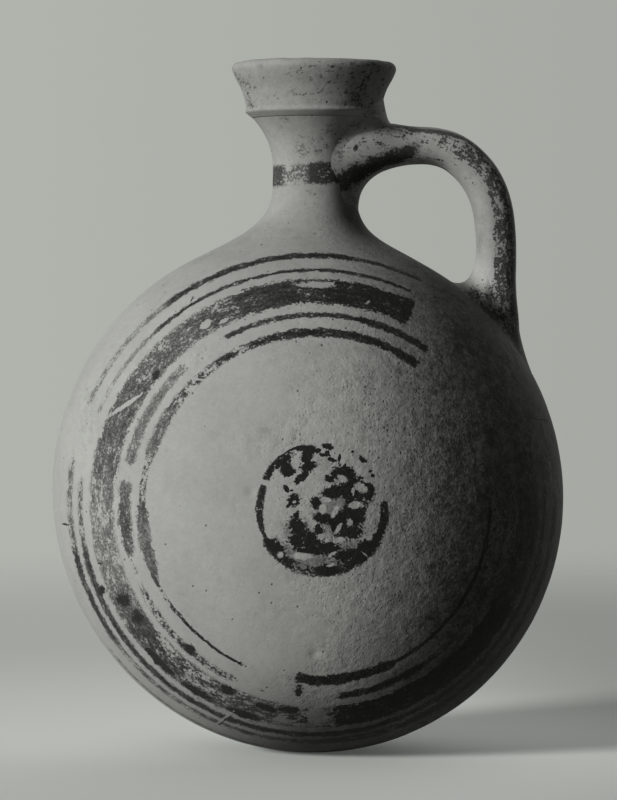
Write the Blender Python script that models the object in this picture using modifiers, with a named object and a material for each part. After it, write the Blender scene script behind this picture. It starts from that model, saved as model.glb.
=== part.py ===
"""Hand-made ceramic jug: a globular body closed from two thrown bowls, a waisted neck, a cup mouth and a
strap handle. Metres, +Z up, the handle towards +X and the painted face towards -Y. The origin is at the
middle of the underside."""

import math

import bmesh
import bpy
from mathutils import Matrix, Vector

# Gap that luted pieces keep between their faces
CLEARANCE = 0.0003

# Body, which is a little oval and leans to the left at the top
BODY_SHORT_RADIUS = 0.0987
BODY_LONG_RADIUS = 0.1010
BODY_LEAN = math.radians(26.7)
BODY_HALF_DEPTH = 0.0890
BODY_FULLNESS = 2.2
BODY_WALL = 0.0050
RESTING_FLAT_DEPTH = 0.0010

# Lapped seam where the two bowls meet, and the roll of clay inside it
SEAM_TONGUE_LENGTH = 0.0030
SEAM_COIL_RADIUS = 0.0022
SEAM_COIL_END_GAP = 0.0040

# Neck, whose heights are measured up from the top of the body
NECK_OFFSET_X = 0.0025
NECK_LENGTH = 0.0449
NECK_WAIST_RADIUS = 0.01625
NECK_WAIST_LOW = 0.0190
NECK_WAIST_HIGH = 0.0258
NECK_TOP_RADIUS = 0.0238
NECK_WALL = 0.0045
NECK_TOP_FLARE = 2.2
TENON_BELOW_SHOULDER = 0.0010
SPIGOT_HEIGHT = 0.0040
SPIGOT_WALL = 0.0025

# Coil smoothed round the foot of the neck into a concave flare that reaches further on the left
FOOT_RADIUS = 0.0330
FOOT_FLARE = 2.5
FOOT_EDGE = 0.0008
FOOT_BURIED_DEPTH = 0.0032
FOOT_SEAT_HEIGHT = 0.0100
FOOT_SHIFT = 0.0035

# Cup mouth, whose heights are measured up from its foot
MOUTH_HEIGHT = 0.0222
MOUTH_WALL = 0.0050
MOUTH_FLARE = 2.0
RIDGE_RADIUS = 0.0269
RIDGE_HEIGHT = 0.0018
RIDGE_UNDERCUT = 0.0023
CUP_WAIST_RADIUS = 0.0264
CUP_WAIST_HEIGHT = 0.0045
RIM_RADIUS = 0.0322
LIP_HEIGHT = 0.0029

# Strap handle
HANDLE_WIDTH = 0.0240
HANDLE_THICKNESS = 0.0152
HANDLE_REACH = 0.0708
HANDLE_BELOW_MOUTH = 0.0029
HANDLE_ROOT_DROP = 0.0020
BEND_REACH = 0.0280
BEND_DROP = 0.0300
ROOT_SWELL = 0.22
ROOT_LENGTH = 0.0200

# Clay smeared round the ends of the handle
UPPER_PAD_HALF_HEIGHT = 0.0160
UPPER_PAD_HALF_WIDTH = 0.0172
UPPER_PAD_THICKNESS = 0.0125
UPPER_PAD_DROP = 0.0035
LOWER_PAD_HALF_LENGTH = 0.0225
LOWER_PAD_HALF_WIDTH = 0.0190
LOWER_PAD_THICKNESS = 0.0075
LOWER_PAD_SINK = 0.0015

# Facets round each turned piece and along the curves
BODY_STEPS = 52
NECK_STEPS = 40
BOWL_POINTS = 12
FLARE_POINTS = 6
FOOT_POINTS = 12
LIP_POINTS = 6
RUN_POINTS = 7
BEND_POINTS = 10
SECTION_POINTS = 18
PAD_STEPS = 24
PAD_RINGS = 14
COIL_RESOLUTION = 1
MERGE_DISTANCE = 0.00001

# Fired clay, a shade apart from piece to piece
CLAY_ROUGHNESS = 0.85
FRONT_CLAY = (0.40, 0.38, 0.34)
BACK_CLAY = (0.36, 0.34, 0.31)
SEAM_CLAY = (0.33, 0.31, 0.28)
NECK_CLAY = (0.43, 0.41, 0.37)
FOOT_CLAY = (0.41, 0.39, 0.35)
MOUTH_CLAY = (0.39, 0.37, 0.33)
HANDLE_CLAY = (0.30, 0.28, 0.26)
UPPER_PAD_CLAY = (0.34, 0.32, 0.29)
LOWER_PAD_CLAY = (0.32, 0.30, 0.27)


def body_height(x, y, grow=0.0):
    """Height of the body's upper surface over a point, with the body grown by a margin."""
    short = BODY_SHORT_RADIUS + grow
    long = BODY_LONG_RADIUS + grow
    depth_share = min(1.0, abs(y) / (BODY_HALF_DEPTH + grow))
    level = (1 - depth_share**BODY_FULLNESS) ** (2 / BODY_FULLNESS)
    sine = math.sin(BODY_LEAN)
    cosine = math.cos(BODY_LEAN)
    square = (sine / short) ** 2 + (cosine / long) ** 2
    half_cross = x * sine * cosine * (1 / short**2 - 1 / long**2)
    rest = (x * cosine / short) ** 2 + (x * sine / long) ** 2 - level
    inside = max(0.0, half_cross**2 - square * rest)
    return BODY_CENTRE_Z + (math.sqrt(inside) - half_cross) / square


def power_flare(start, end, power, count):
    """Concave run of (radius, height) pairs that leaves its start upright and spreads to its end."""
    points = []
    for i in range(count + 1):
        share = i / count
        radius = start[0] + (end[0] - start[0]) * share**power
        points.append((radius, start[1] + (end[1] - start[1]) * share))
    return points


# Places that follow from the sizes above
BODY_HALF_HEIGHT = math.hypot(
    BODY_LONG_RADIUS * math.cos(BODY_LEAN), BODY_SHORT_RADIUS * math.sin(BODY_LEAN)
)
BODY_CENTRE_Z = BODY_HALF_HEIGHT - RESTING_FLAT_DEPTH
BODY_TOP_Z = body_height(NECK_OFFSET_X, 0)
SEAT_Z = BODY_TOP_Z + FOOT_SEAT_HEIGHT
MOUTH_FOOT_Z = BODY_TOP_Z + NECK_LENGTH
NECK_TOP_BORE = NECK_TOP_RADIUS - NECK_WALL
SPIGOT_RADIUS = NECK_TOP_BORE + SPIGOT_WALL
HANDLE_LINE_X = NECK_OFFSET_X + HANDLE_REACH
HANDLE_LINE_Z = MOUTH_FOOT_Z - HANDLE_BELOW_MOUTH - HANDLE_THICKNESS / 2


def clear_scene():
    for old in list(bpy.data.objects):
        bpy.data.objects.remove(old, do_unlink=True)


def new_collection(name):
    collection = bpy.data.collections.new(name)
    bpy.context.scene.collection.children.link(collection)
    return collection


def clay(name, colour):
    """Matt fired clay."""
    material = bpy.data.materials.new(name)
    material.use_nodes = True
    shader = material.node_tree.nodes["Principled BSDF"]
    shader.inputs["Base Color"].default_value = (*colour, 1.0)
    shader.inputs["Roughness"].default_value = CLAY_ROUGHNESS
    shader.inputs["Metallic"].default_value = 0.0
    return material


def add_object(name, data, collection, material=None):
    piece = bpy.data.objects.new(name, data)
    collection.objects.link(piece)
    if material:
        data.materials.append(material)
    return piece


def as_cutter(piece):
    """A cutter shows only as wire and is no part of the jug."""
    piece.hide_render = True
    piece.display_type = "WIRE"
    return piece


def cut(piece, cutter):
    boolean = piece.modifiers.new("Cut by " + cutter.name, "BOOLEAN")
    boolean.operation = "DIFFERENCE"
    boolean.solver = "EXACT"
    boolean.object = cutter


def turned(name, profile, steps, collection, material=None, closed=True):
    """Profile of (radius, height) pairs, turned about its own upright axis."""
    count = len(profile)
    edges = [(i, i + 1) for i in range(count - 1)]
    if closed:
        edges.append((count - 1, 0))
    mesh = bpy.data.meshes.new(name)
    mesh.from_pydata([(radius, 0, height) for radius, height in profile], edges, [])
    piece = add_object(name, mesh, collection, material)
    screw = piece.modifiers.new("Turn", "SCREW")
    screw.axis = "Z"
    screw.steps = steps
    screw.render_steps = steps
    screw.use_merge_vertices = True
    screw.merge_threshold = MERGE_DISTANCE
    screw.use_smooth_shade = True
    return piece


def solid_from(source, name, collection, material=None):
    """Mesh object made from a curve or from an object with modifiers, which it replaces."""
    graph = bpy.context.evaluated_depsgraph_get()
    mesh = bpy.data.meshes.new_from_object(source.evaluated_get(graph))
    welded = bmesh.new()
    welded.from_mesh(mesh)
    bmesh.ops.remove_doubles(welded, verts=welded.verts, dist=MERGE_DISTANCE)
    bmesh.ops.recalc_face_normals(welded, faces=welded.faces)
    welded.to_mesh(mesh)
    welded.free()
    mesh.materials.clear()
    matrix = source.matrix_world.copy()
    bpy.data.objects.remove(source, do_unlink=True)
    mesh.shade_smooth()
    piece = add_object(name, mesh, collection, material)
    piece.matrix_world = matrix
    return piece


def poly_curve(name, points, collection):
    """Curve through points, with filled ends, whose sections stay square to the plane of the seam."""
    curve = bpy.data.curves.new(name, "CURVE")
    curve.dimensions = "3D"
    curve.use_fill_caps = True
    curve.twist_mode = "MINIMUM"
    spline = curve.splines.new("POLY")
    spline.points.add(len(points) - 1)
    for knot, point in zip(spline.points, points):
        knot.co = (*point, 1)
    return add_object(name, curve, collection)


def bowl_arc(radius, depth):
    """Outline of a bowl from its pole down to its rim, fuller than a round."""
    points = [(0.0, depth)]
    for i in range(1, BOWL_POINTS):
        angle = math.pi / 2 * (1 - i / BOWL_POINTS)
        across = radius * math.cos(angle) ** (2 / BODY_FULLNESS)
        points.append((across, depth * math.sin(angle) ** (2 / BODY_FULLNESS)))
    return points


def place_on_body(piece, turn):
    """Lays a turned piece's axis level, presses it oval and leans it."""
    piece.location = (0, 0, BODY_CENTRE_Z)
    piece.rotation_euler = (turn, -BODY_LEAN, 0)
    piece.scale = (1, BODY_LONG_RADIUS / BODY_SHORT_RADIUS, 1)


def bowl(name, has_tongue, turn, collection, material):
    """One thrown half of the body. The tongue of one rim laps inside the rebate of the other."""
    inside = BODY_SHORT_RADIUS - BODY_WALL
    inside_depth = BODY_HALF_DEPTH - BODY_WALL
    middle = BODY_SHORT_RADIUS - BODY_WALL / 2
    rim = CLEARANCE / 2
    outer = bowl_arc(BODY_SHORT_RADIUS, BODY_HALF_DEPTH)
    inner = bowl_arc(inside, inside_depth)
    if has_tongue:
        lap = middle - CLEARANCE / 2
        tip = -SEAM_TONGUE_LENGTH
        edge = [(BODY_SHORT_RADIUS, rim), (lap, rim), (lap, tip), (inside, tip), (inside, 0)]
    else:
        lap = middle + CLEARANCE / 2
        floor = SEAM_TONGUE_LENGTH + CLEARANCE
        narrowing = (1 - (floor / inside_depth) ** BODY_FULLNESS) ** (1 / BODY_FULLNESS)
        edge = [(BODY_SHORT_RADIUS, rim), (lap, rim), (lap, floor), (inside * narrowing, floor)]
        inner = [point for point in inner if point[1] > floor + CLEARANCE]
    profile = outer + edge + inner[::-1]
    piece = turned(name, profile, BODY_STEPS, collection, material, closed=False)
    place_on_body(piece, turn)
    return piece


def seam_coil(collection, material):
    """Roll of clay inside the seam, open at the top where the neck comes through."""
    radius = BODY_SHORT_RADIUS - BODY_WALL - CLEARANCE - SEAM_COIL_RADIUS
    half_gap = math.asin((NECK_WAIST_RADIUS + CLEARANCE + SEAM_COIL_END_GAP) / radius)
    first = math.pi / 2 - BODY_LEAN - math.asin(NECK_OFFSET_X / radius) + half_gap
    sweep = 2 * math.pi - 2 * half_gap
    lean = Matrix.Rotation(-BODY_LEAN, 3, "Y")
    points = []
    for i in range(BODY_STEPS + 1):
        angle = first + sweep * i / BODY_STEPS
        up = math.sin(angle) * BODY_LONG_RADIUS / BODY_SHORT_RADIUS
        point = lean @ Vector((radius * math.cos(angle), 0, radius * up))
        points.append(point + Vector((0, 0, BODY_CENTRE_Z)))
    line = poly_curve("seam_line", points, collection)
    line.data.bevel_depth = SEAM_COIL_RADIUS
    line.data.bevel_resolution = COIL_RESOLUTION
    return solid_from(line, "body_seam_coil", collection, material)


def foot_edge_z():
    """Height of the outer edge of the neck's foot, on the side where the shoulder is highest."""
    return body_height(NECK_OFFSET_X - FOOT_RADIUS, 0, CLEARANCE) + FOOT_EDGE


def foot_flare():
    """Outline of the neck's foot from its waist out to its edge on the shoulder."""
    start = (NECK_WAIST_RADIUS, BODY_TOP_Z + NECK_WAIST_LOW)
    return power_flare(start, (FOOT_RADIUS, foot_edge_z()), FOOT_FLARE, FOOT_POINTS)


def foot_radius_at(height):
    """Radius of the foot's outline at a height."""
    low = BODY_TOP_Z + NECK_WAIST_LOW
    share = (low - height) / (low - foot_edge_z())
    return NECK_WAIST_RADIUS + (FOOT_RADIUS - NECK_WAIST_RADIUS) * share**FOOT_FLARE


def neck_outline():
    """Outer side of the neck, top to bottom, above the seat on the coil at its foot."""
    high = BODY_TOP_Z + NECK_WAIST_HIGH
    top = (NECK_TOP_RADIUS, MOUTH_FOOT_Z - CLEARANCE)
    upper = power_flare((NECK_WAIST_RADIUS, high), top, NECK_TOP_FLARE, FLARE_POINTS)[::-1]
    lower = [point for point in foot_flare() if point[1] > SEAT_Z + CLEARANCE]
    return upper + lower + [(foot_radius_at(SEAT_Z), SEAT_Z)]


def neck(collection, material):
    """Waisted tube with a spigot for the mouth above and a tenon through the shoulder below."""
    tenon_z = BODY_TOP_Z - BODY_WALL - TENON_BELOW_SHOULDER
    bore = NECK_WAIST_RADIUS - NECK_WALL
    high = BODY_TOP_Z + NECK_WAIST_HIGH
    spigot_z = MOUTH_FOOT_Z + SPIGOT_HEIGHT
    spigot = [(SPIGOT_RADIUS, spigot_z), (SPIGOT_RADIUS, MOUTH_FOOT_Z - CLEARANCE)]
    tenon = [(NECK_WAIST_RADIUS, SEAT_Z), (NECK_WAIST_RADIUS, tenon_z), (bore, tenon_z)]
    inner = power_flare((bore, high), (NECK_TOP_BORE, spigot_z), NECK_TOP_FLARE, FLARE_POINTS)
    profile = spigot + neck_outline() + tenon + inner
    piece = turned("neck", profile, NECK_STEPS, collection, material)
    piece.location.x = NECK_OFFSET_X
    return piece


def neck_base_coil(collection, material):
    """Ring of clay between the neck and the shoulder, draped over the body's curve."""
    bore = NECK_WAIST_RADIUS + CLEARANCE
    seat = SEAT_Z - CLEARANCE
    edge_z = foot_edge_z()
    buried_z = edge_z - FOOT_BURIED_DEPTH
    flare = [point for point in foot_flare() if point[1] < seat - CLEARANCE]
    under = [(FOOT_RADIUS, buried_z), (bore, BODY_TOP_Z - FOOT_EDGE)]
    profile = [(bore, seat), (foot_radius_at(seat), seat)] + flare + under
    source = turned("ring", profile, NECK_STEPS, collection)
    source.location.x = NECK_OFFSET_X
    bpy.context.view_layer.update()
    piece = solid_from(source, "neck_base_coil", collection, material)
    span = FOOT_RADIUS - foot_radius_at(seat)
    for vertex in piece.data.vertices:
        radius = math.hypot(vertex.co.x, vertex.co.y)
        share = max(0.0, (radius - foot_radius_at(seat)) / span)
        vertex.co.x -= FOOT_SHIFT * share
        here = body_height(NECK_OFFSET_X + vertex.co.x, vertex.co.y)
        vertex.co.z += share * (here - body_height(NECK_OFFSET_X - radius, 0))
    return piece


def mouth_outline():
    """Outer side of the mouth from the lip down to its foot."""
    rim = (RIM_RADIUS, MOUTH_FOOT_Z + MOUTH_HEIGHT - LIP_HEIGHT)
    waist = (CUP_WAIST_RADIUS, MOUTH_FOOT_Z + CUP_WAIST_HEIGHT)
    cup = power_flare(waist, rim, MOUTH_FLARE, FLARE_POINTS)[::-1]
    ridge = (RIDGE_RADIUS, MOUTH_FOOT_Z + RIDGE_HEIGHT)
    return cup + [ridge, (RIDGE_RADIUS - RIDGE_UNDERCUT, MOUTH_FOOT_Z)]


def mouth(collection, material):
    """Flared cup with a ridge at its foot and a rounded lip, seated over the neck's spigot."""
    rim_z = MOUTH_FOOT_Z + MOUTH_HEIGHT - LIP_HEIGHT
    socket = SPIGOT_RADIUS + CLEARANCE
    socket_z = MOUTH_FOOT_Z + SPIGOT_HEIGHT + CLEARANCE
    lip = []
    for i in range(1, LIP_POINTS):
        angle = math.pi * (1 - i / LIP_POINTS)
        across = RIM_RADIUS - MOUTH_WALL / 2 * (1 - math.cos(angle))
        lip.append((across, rim_z + LIP_HEIGHT * math.sin(angle)))
    throat = (NECK_TOP_BORE, socket_z)
    inner = power_flare(throat, (RIM_RADIUS - MOUTH_WALL, rim_z), MOUTH_FLARE, FLARE_POINTS)
    profile = lip + mouth_outline() + [(socket, MOUTH_FOOT_Z), (socket, socket_z)] + inner
    piece = turned("mouth", profile, NECK_STEPS, collection, material)
    piece.location.x = NECK_OFFSET_X
    return piece


def handle_line():
    """Middle line of the handle: out from the neck, over a bend and down to the shoulder."""
    bend_x = HANDLE_LINE_X - BEND_REACH
    bend_z = HANDLE_LINE_Z - BEND_DROP
    foot_z = body_height(HANDLE_LINE_X + HANDLE_THICKNESS, 0) - CLEARANCE
    points = []
    for i in range(RUN_POINTS):
        x = NECK_OFFSET_X + (bend_x - NECK_OFFSET_X) * i / RUN_POINTS
        nearness = max(0.0, 1 - (x - NECK_OFFSET_X - NECK_WAIST_RADIUS) / ROOT_LENGTH)
        points.append(Vector((x, 0, HANDLE_LINE_Z - HANDLE_ROOT_DROP * min(1.0, nearness) ** 2)))
    for i in range(BEND_POINTS + 1):
        angle = math.pi / 2 * (1 - i / BEND_POINTS)
        across = bend_x + BEND_REACH * math.cos(angle)
        points.append(Vector((across, 0, bend_z + BEND_DROP * math.sin(angle))))
    for i in range(1, RUN_POINTS + 1):
        points.append(Vector((HANDLE_LINE_X, 0, bend_z + (foot_z - bend_z) * i / RUN_POINTS)))
    return points


def handle_swell(point):
    """How much wider the strap is near its roots on the neck and on the shoulder."""
    to_neck = point.x - NECK_OFFSET_X - NECK_WAIST_RADIUS
    to_body = point.z - body_height(HANDLE_LINE_X, 0)
    if point.z > HANDLE_LINE_Z - BEND_DROP and point.x < HANDLE_LINE_X - BEND_REACH:
        nearest = to_neck
    else:
        nearest = to_body
    nearness = min(1.0, max(0.0, 1 - nearest / ROOT_LENGTH))
    return 1 + ROOT_SWELL * nearness**2


def strap(name, grow, collection, material=None):
    """Oval strap along the handle's line, grown by a margin."""
    points = handle_line()
    section = bpy.data.curves.new(name + "_section", "CURVE")
    section.dimensions = "2D"
    outline = section.splines.new("POLY")
    outline.points.add(SECTION_POINTS - 1)
    outline.use_cyclic_u = True
    for i, knot in enumerate(outline.points):
        angle = 2 * math.pi * i / SECTION_POINTS
        across = (HANDLE_WIDTH / 2 + grow) * math.cos(angle)
        knot.co = (across, (HANDLE_THICKNESS / 2 + grow) * math.sin(angle), 0, 1)
    guide = add_object(name + "_section", section, collection)
    line = poly_curve(name + "_line", points, collection)
    line.data.bevel_mode = "OBJECT"
    line.data.bevel_object = guide
    for knot, point in zip(line.data.splines[0].points, points):
        knot.radius = handle_swell(point)
    piece = solid_from(line, name, collection, material)
    bpy.data.objects.remove(guide, do_unlink=True)
    return piece


def pad(name, half_sizes, centre, tilt, collection, material):
    """Flattened lump of clay pressed round one end of the handle."""
    mesh = bpy.data.meshes.new(name)
    lump = bmesh.new()
    bmesh.ops.create_uvsphere(lump, u_segments=PAD_STEPS, v_segments=PAD_RINGS, radius=1.0)
    bmesh.ops.scale(lump, vec=half_sizes, verts=lump.verts)
    lump.to_mesh(mesh)
    lump.free()
    mesh.shade_smooth()
    piece = add_object(name, mesh, collection, material)
    piece.location = centre
    piece.rotation_euler.y = tilt
    return piece


def upper_pad(collection, material):
    half_sizes = (UPPER_PAD_THICKNESS, UPPER_PAD_HALF_WIDTH, UPPER_PAD_HALF_HEIGHT)
    centre = (NECK_OFFSET_X + NECK_WAIST_RADIUS, 0, HANDLE_LINE_Z - UPPER_PAD_DROP)
    return pad("handle_upper_pad", half_sizes, centre, 0, collection, material)


def lower_pad(collection, material):
    """The lower pad lies along the slope of the shoulder."""
    half_sizes = (LOWER_PAD_HALF_LENGTH, LOWER_PAD_HALF_WIDTH, LOWER_PAD_THICKNESS)
    surface_z = body_height(HANDLE_LINE_X, 0)
    fall = surface_z - body_height(HANDLE_LINE_X + HANDLE_THICKNESS / 2, 0)
    slope = math.atan2(fall, HANDLE_THICKNESS / 2)
    centre = (HANDLE_LINE_X, 0, surface_z - LOWER_PAD_SINK)
    return pad("handle_lower_pad", half_sizes, centre, slope, collection, material)


def body_cutter(collection):
    """The whole body as one solid, grown by the clearance."""
    half = bowl_arc(BODY_SHORT_RADIUS + CLEARANCE, BODY_HALF_DEPTH + CLEARANCE)
    rim = [(BODY_SHORT_RADIUS + CLEARANCE, 0.0)]
    profile = half + rim + [(radius, -height) for radius, height in half[::-1]]
    piece = turned("body_cutter", profile, BODY_STEPS, collection, closed=False)
    place_on_body(piece, math.pi / 2)
    return as_cutter(piece)


def neck_cutter(collection):
    """The neck as one solid, grown by the clearance."""
    grown = [(radius + CLEARANCE, height) for radius, height in neck_outline() + foot_flare()[-1:]]
    profile = [(0, MOUTH_FOOT_Z)] + grown + [(0, grown[-1][1])]
    piece = turned("neck_cutter", profile, NECK_STEPS, collection, closed=False)
    piece.location.x = NECK_OFFSET_X
    return as_cutter(piece)


def mouth_cutter(collection):
    """The mouth as one solid, grown by the clearance."""
    grown = [(radius + CLEARANCE, height - CLEARANCE) for radius, height in mouth_outline()]
    profile = [(0, grown[0][1])] + grown + [(0, grown[-1][1])]
    piece = turned("mouth_cutter", profile, NECK_STEPS, collection, closed=False)
    piece.location.x = NECK_OFFSET_X
    return as_cutter(piece)


def neck_hole_cutter(collection):
    """Round hole through the shoulder for the neck's tenon."""
    hole = bmesh.new()
    radius = NECK_WAIST_RADIUS + CLEARANCE
    bmesh.ops.create_cone(
        hole,
        cap_ends=True,
        segments=NECK_STEPS,
        radius1=radius,
        radius2=radius,
        depth=BODY_HALF_HEIGHT,
    )
    mesh = bpy.data.meshes.new("neck_hole_cutter")
    hole.to_mesh(mesh)
    hole.free()
    piece = add_object("neck_hole_cutter", mesh, collection)
    piece.location = (NECK_OFFSET_X, 0, BODY_TOP_Z)
    return as_cutter(piece)


def resting_flat_cutter(collection):
    """Block below the plane that the jug stands on."""
    block = bmesh.new()
    bmesh.ops.create_cube(block, size=2 * BODY_HALF_HEIGHT)
    mesh = bpy.data.meshes.new("resting_flat_cutter")
    block.to_mesh(mesh)
    block.free()
    piece = add_object("resting_flat_cutter", mesh, collection)
    piece.location.z = -BODY_HALF_HEIGHT
    return as_cutter(piece)


def build():
    clear_scene()
    jug = new_collection("ceramic_jug")
    cutters = new_collection("ceramic_jug_cutters")

    front = bowl("body_front_half", True, math.pi / 2, jug, clay("front_clay", FRONT_CLAY))
    back = bowl("body_back_half", False, -math.pi / 2, jug, clay("back_clay", BACK_CLAY))
    seam_coil(jug, clay("seam_clay", SEAM_CLAY))
    neck(jug, clay("neck_clay", NECK_CLAY))
    foot = neck_base_coil(jug, clay("foot_clay", FOOT_CLAY))
    mouth(jug, clay("mouth_clay", MOUTH_CLAY))
    handle = strap("handle", 0.0, jug, clay("handle_clay", HANDLE_CLAY))
    upper = upper_pad(jug, clay("upper_pad_clay", UPPER_PAD_CLAY))
    lower = lower_pad(jug, clay("lower_pad_clay", LOWER_PAD_CLAY))

    flat_cutter = resting_flat_cutter(cutters)
    hole_cutter = neck_hole_cutter(cutters)
    body_room = body_cutter(cutters)
    neck_room = neck_cutter(cutters)
    mouth_room = mouth_cutter(cutters)
    handle_room = as_cutter(strap("handle_cutter", CLEARANCE, cutters))
    for half in (front, back):
        cut(half, flat_cutter)
        cut(half, hole_cutter)
    cut(foot, body_room)
    for piece in (handle, upper, lower):
        cut(piece, body_room)
        cut(piece, neck_room)
        cut(piece, mouth_room)
    for piece in (upper, lower):
        cut(piece, handle_room)


build()
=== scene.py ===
"""Looks of a hand-made ceramic jug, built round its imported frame. Metres, +Z up, the handle towards +X and
the painted face towards -Y. Every surface follows the outlines of the solids that it stands for."""

import math

import bmesh
import bpy
import numpy as np
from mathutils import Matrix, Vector


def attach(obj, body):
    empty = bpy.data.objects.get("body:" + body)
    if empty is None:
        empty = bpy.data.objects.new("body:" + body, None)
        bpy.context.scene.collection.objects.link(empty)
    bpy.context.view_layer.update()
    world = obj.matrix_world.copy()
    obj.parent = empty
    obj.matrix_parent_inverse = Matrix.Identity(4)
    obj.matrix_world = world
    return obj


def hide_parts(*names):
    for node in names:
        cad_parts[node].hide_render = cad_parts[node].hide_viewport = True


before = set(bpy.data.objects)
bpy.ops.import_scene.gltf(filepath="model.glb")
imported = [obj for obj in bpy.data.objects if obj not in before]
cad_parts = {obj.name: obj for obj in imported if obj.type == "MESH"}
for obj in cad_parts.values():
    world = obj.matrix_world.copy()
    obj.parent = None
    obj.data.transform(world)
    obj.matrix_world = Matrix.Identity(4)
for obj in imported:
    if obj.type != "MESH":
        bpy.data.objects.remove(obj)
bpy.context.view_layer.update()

# Body, which is a little oval and leans to the left at the top
BODY_SHORT_RADIUS = 0.0987
BODY_LONG_RADIUS = 0.1010
BODY_LEAN = math.radians(26.7)
BODY_HALF_DEPTH = 0.0890
BODY_FULLNESS = 2.2
BODY_WALL = 0.0050
RESTING_FLAT_DEPTH = 0.0010

# Neck, whose heights are measured up from the top of the body
NECK_X = 0.0025
NECK_LENGTH = 0.0449
NECK_WAIST_RADIUS = 0.01625
NECK_WAIST_LOW = 0.0190
NECK_WAIST_HIGH = 0.0258
NECK_TOP_RADIUS = 0.0238
NECK_TOP_FLARE = 2.2
NECK_WALL = 0.0045
SEAT_HEIGHT = 0.0100
TENON_BELOW_SHOULDER = 0.0010
SPIGOT_HEIGHT = 0.0040
SPIGOT_WALL = 0.0025

# Curve from the neck's waist out to the shoulder, away from the handle and towards it
FLARE_END = 0.0479
FLARE_DROPS = (0.0149, 0.0209)
FLARE_PULLS = (0.0224, 0.0251)
FOOT_RADIUS = 0.0350
HOLE_RADIUS = 0.01655
UNDER_FOOT_RADII = (0.0295, 0.0225)
FOOT_BED = 0.0003

# Mouth, as (radius, height above the mouth's foot), down the outside and up the inside
MOUTH_OUTSIDE = (
    (0.0287, 0.0220),
    (0.0303, 0.0218),
    (0.0316, 0.0209),
    (0.0321, 0.0194),
    (0.0316, 0.0176),
    (0.0305, 0.0152),
    (0.0286, 0.0118),
    (0.0273, 0.0082),
    (0.02665, 0.0054),
    (0.0264, 0.0039),
    (0.0266, 0.0033),
    (0.02683, 0.0028),
    (0.0266, 0.0022),
    (0.0254, 0.0012),
    (0.0239, 0.0001),
)
MOUTH_INSIDE = (
    (0.0193, 0.0043),
    (0.0194, 0.0060),
    (0.0204, 0.0095),
    (0.0226, 0.0135),
    (0.0255, 0.0172),
    (0.0269, 0.0196),
    (0.0276, 0.0211),
)

# Handle, as (x, z, half thickness, half width) along its middle line from the neck to the shoulder
HANDLE = (
    (0.0020, 0.2320, 0.0112, 0.0150),
    (0.0100, 0.2325, 0.0112, 0.0150),
    (0.0180, 0.2331, 0.0111, 0.0149),
    (0.0255, 0.2338, 0.0103, 0.0143),
    (0.0330, 0.2345, 0.0088, 0.0130),
    (0.0405, 0.2346, 0.0076, 0.0122),
    (0.0487, 0.2343, 0.0074, 0.0120),
    (0.0555, 0.2325, 0.0075, 0.0120),
    (0.0612, 0.2288, 0.0076, 0.0120),
    (0.0664, 0.2232, 0.0077, 0.0120),
    (0.0702, 0.2163, 0.0077, 0.0120),
    (0.0724, 0.2085, 0.0077, 0.0120),
    (0.0733, 0.2000, 0.0077, 0.0120),
    (0.0735, 0.1910, 0.0077, 0.0121),
    (0.0733, 0.1820, 0.0078, 0.0124),
    (0.0734, 0.1740, 0.0081, 0.0130),
    (0.0738, 0.1650, 0.0085, 0.0136),
    (0.0742, 0.1540, 0.0085, 0.0136),
    (0.0745, 0.1430, 0.0085, 0.0136),
)
HANDLE_SQUARENESS = 2.6

# Clay smeared from the handle onto the neck and the shoulder: how far it climbs the handle and how far it
# spreads, on the outer side, the flanks and the inner side of the handle. Its lumps are given as (height,
# how close)
UPPER_CLIMB = (0.0014, 0.0045, 0.0190)
UPPER_SPREAD = (0.0095, 0.0026, 0.0165)
LOWER_CLIMB = (0.0140, 0.0100, 0.0215)
LOWER_SPREAD = (0.0120, 0.0085, 0.0140)
UPPER_SMEAR_REACH = 0.0283
RIDGE_COVER_Z = 0.2375
RIDGE_COVER_RISE = 0.005
SMEAR_BED = 0.00035
SMEAR_DEPTH = 0.0012
SMEAR_LUMPS = ((0.18, 1.7), (0.10, 4.5))
SMEAR_TURN_POWER = 1.3
STRAP_BURIED = 0.0018

# Rows and columns of the meshes
FRONT_COLUMNS = 280
BACK_COLUMNS = 200
NECK_ROWS = 38
FLARE_ROWS = 58
BODY_ROWS = 236
INNER_ROWS = 40
MOUTH_COLUMNS = 360
MOUTH_STEP = 0.00045
HANDLE_COLUMNS = 96
HANDLE_STEP = 0.0006
SMEAR_ROWS = 16
BORE_ROWS = 16
FLARE_SAMPLES = 200
CURVE_SAMPLES = 24
HALVINGS = 40
SHARP_ANGLE = math.radians(50)


# Places that follow from the sizes above
COS_LEAN = math.cos(BODY_LEAN)
SIN_LEAN = math.sin(BODY_LEAN)
BODY_CENTRE_Z = math.hypot(BODY_LONG_RADIUS * COS_LEAN, BODY_SHORT_RADIUS * SIN_LEAN) - RESTING_FLAT_DEPTH


def linked(name, data):
    """A new object in the scene."""
    made = bpy.data.objects.new(name, data)
    bpy.context.scene.collection.objects.link(made)
    return made


def way_to(turn, rise):
    """The way from the jug to something in front of it, turned to the right and raised."""
    level = math.cos(rise)
    return Vector((math.sin(turn) * level, -math.cos(turn) * level, math.sin(rise)))


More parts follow.
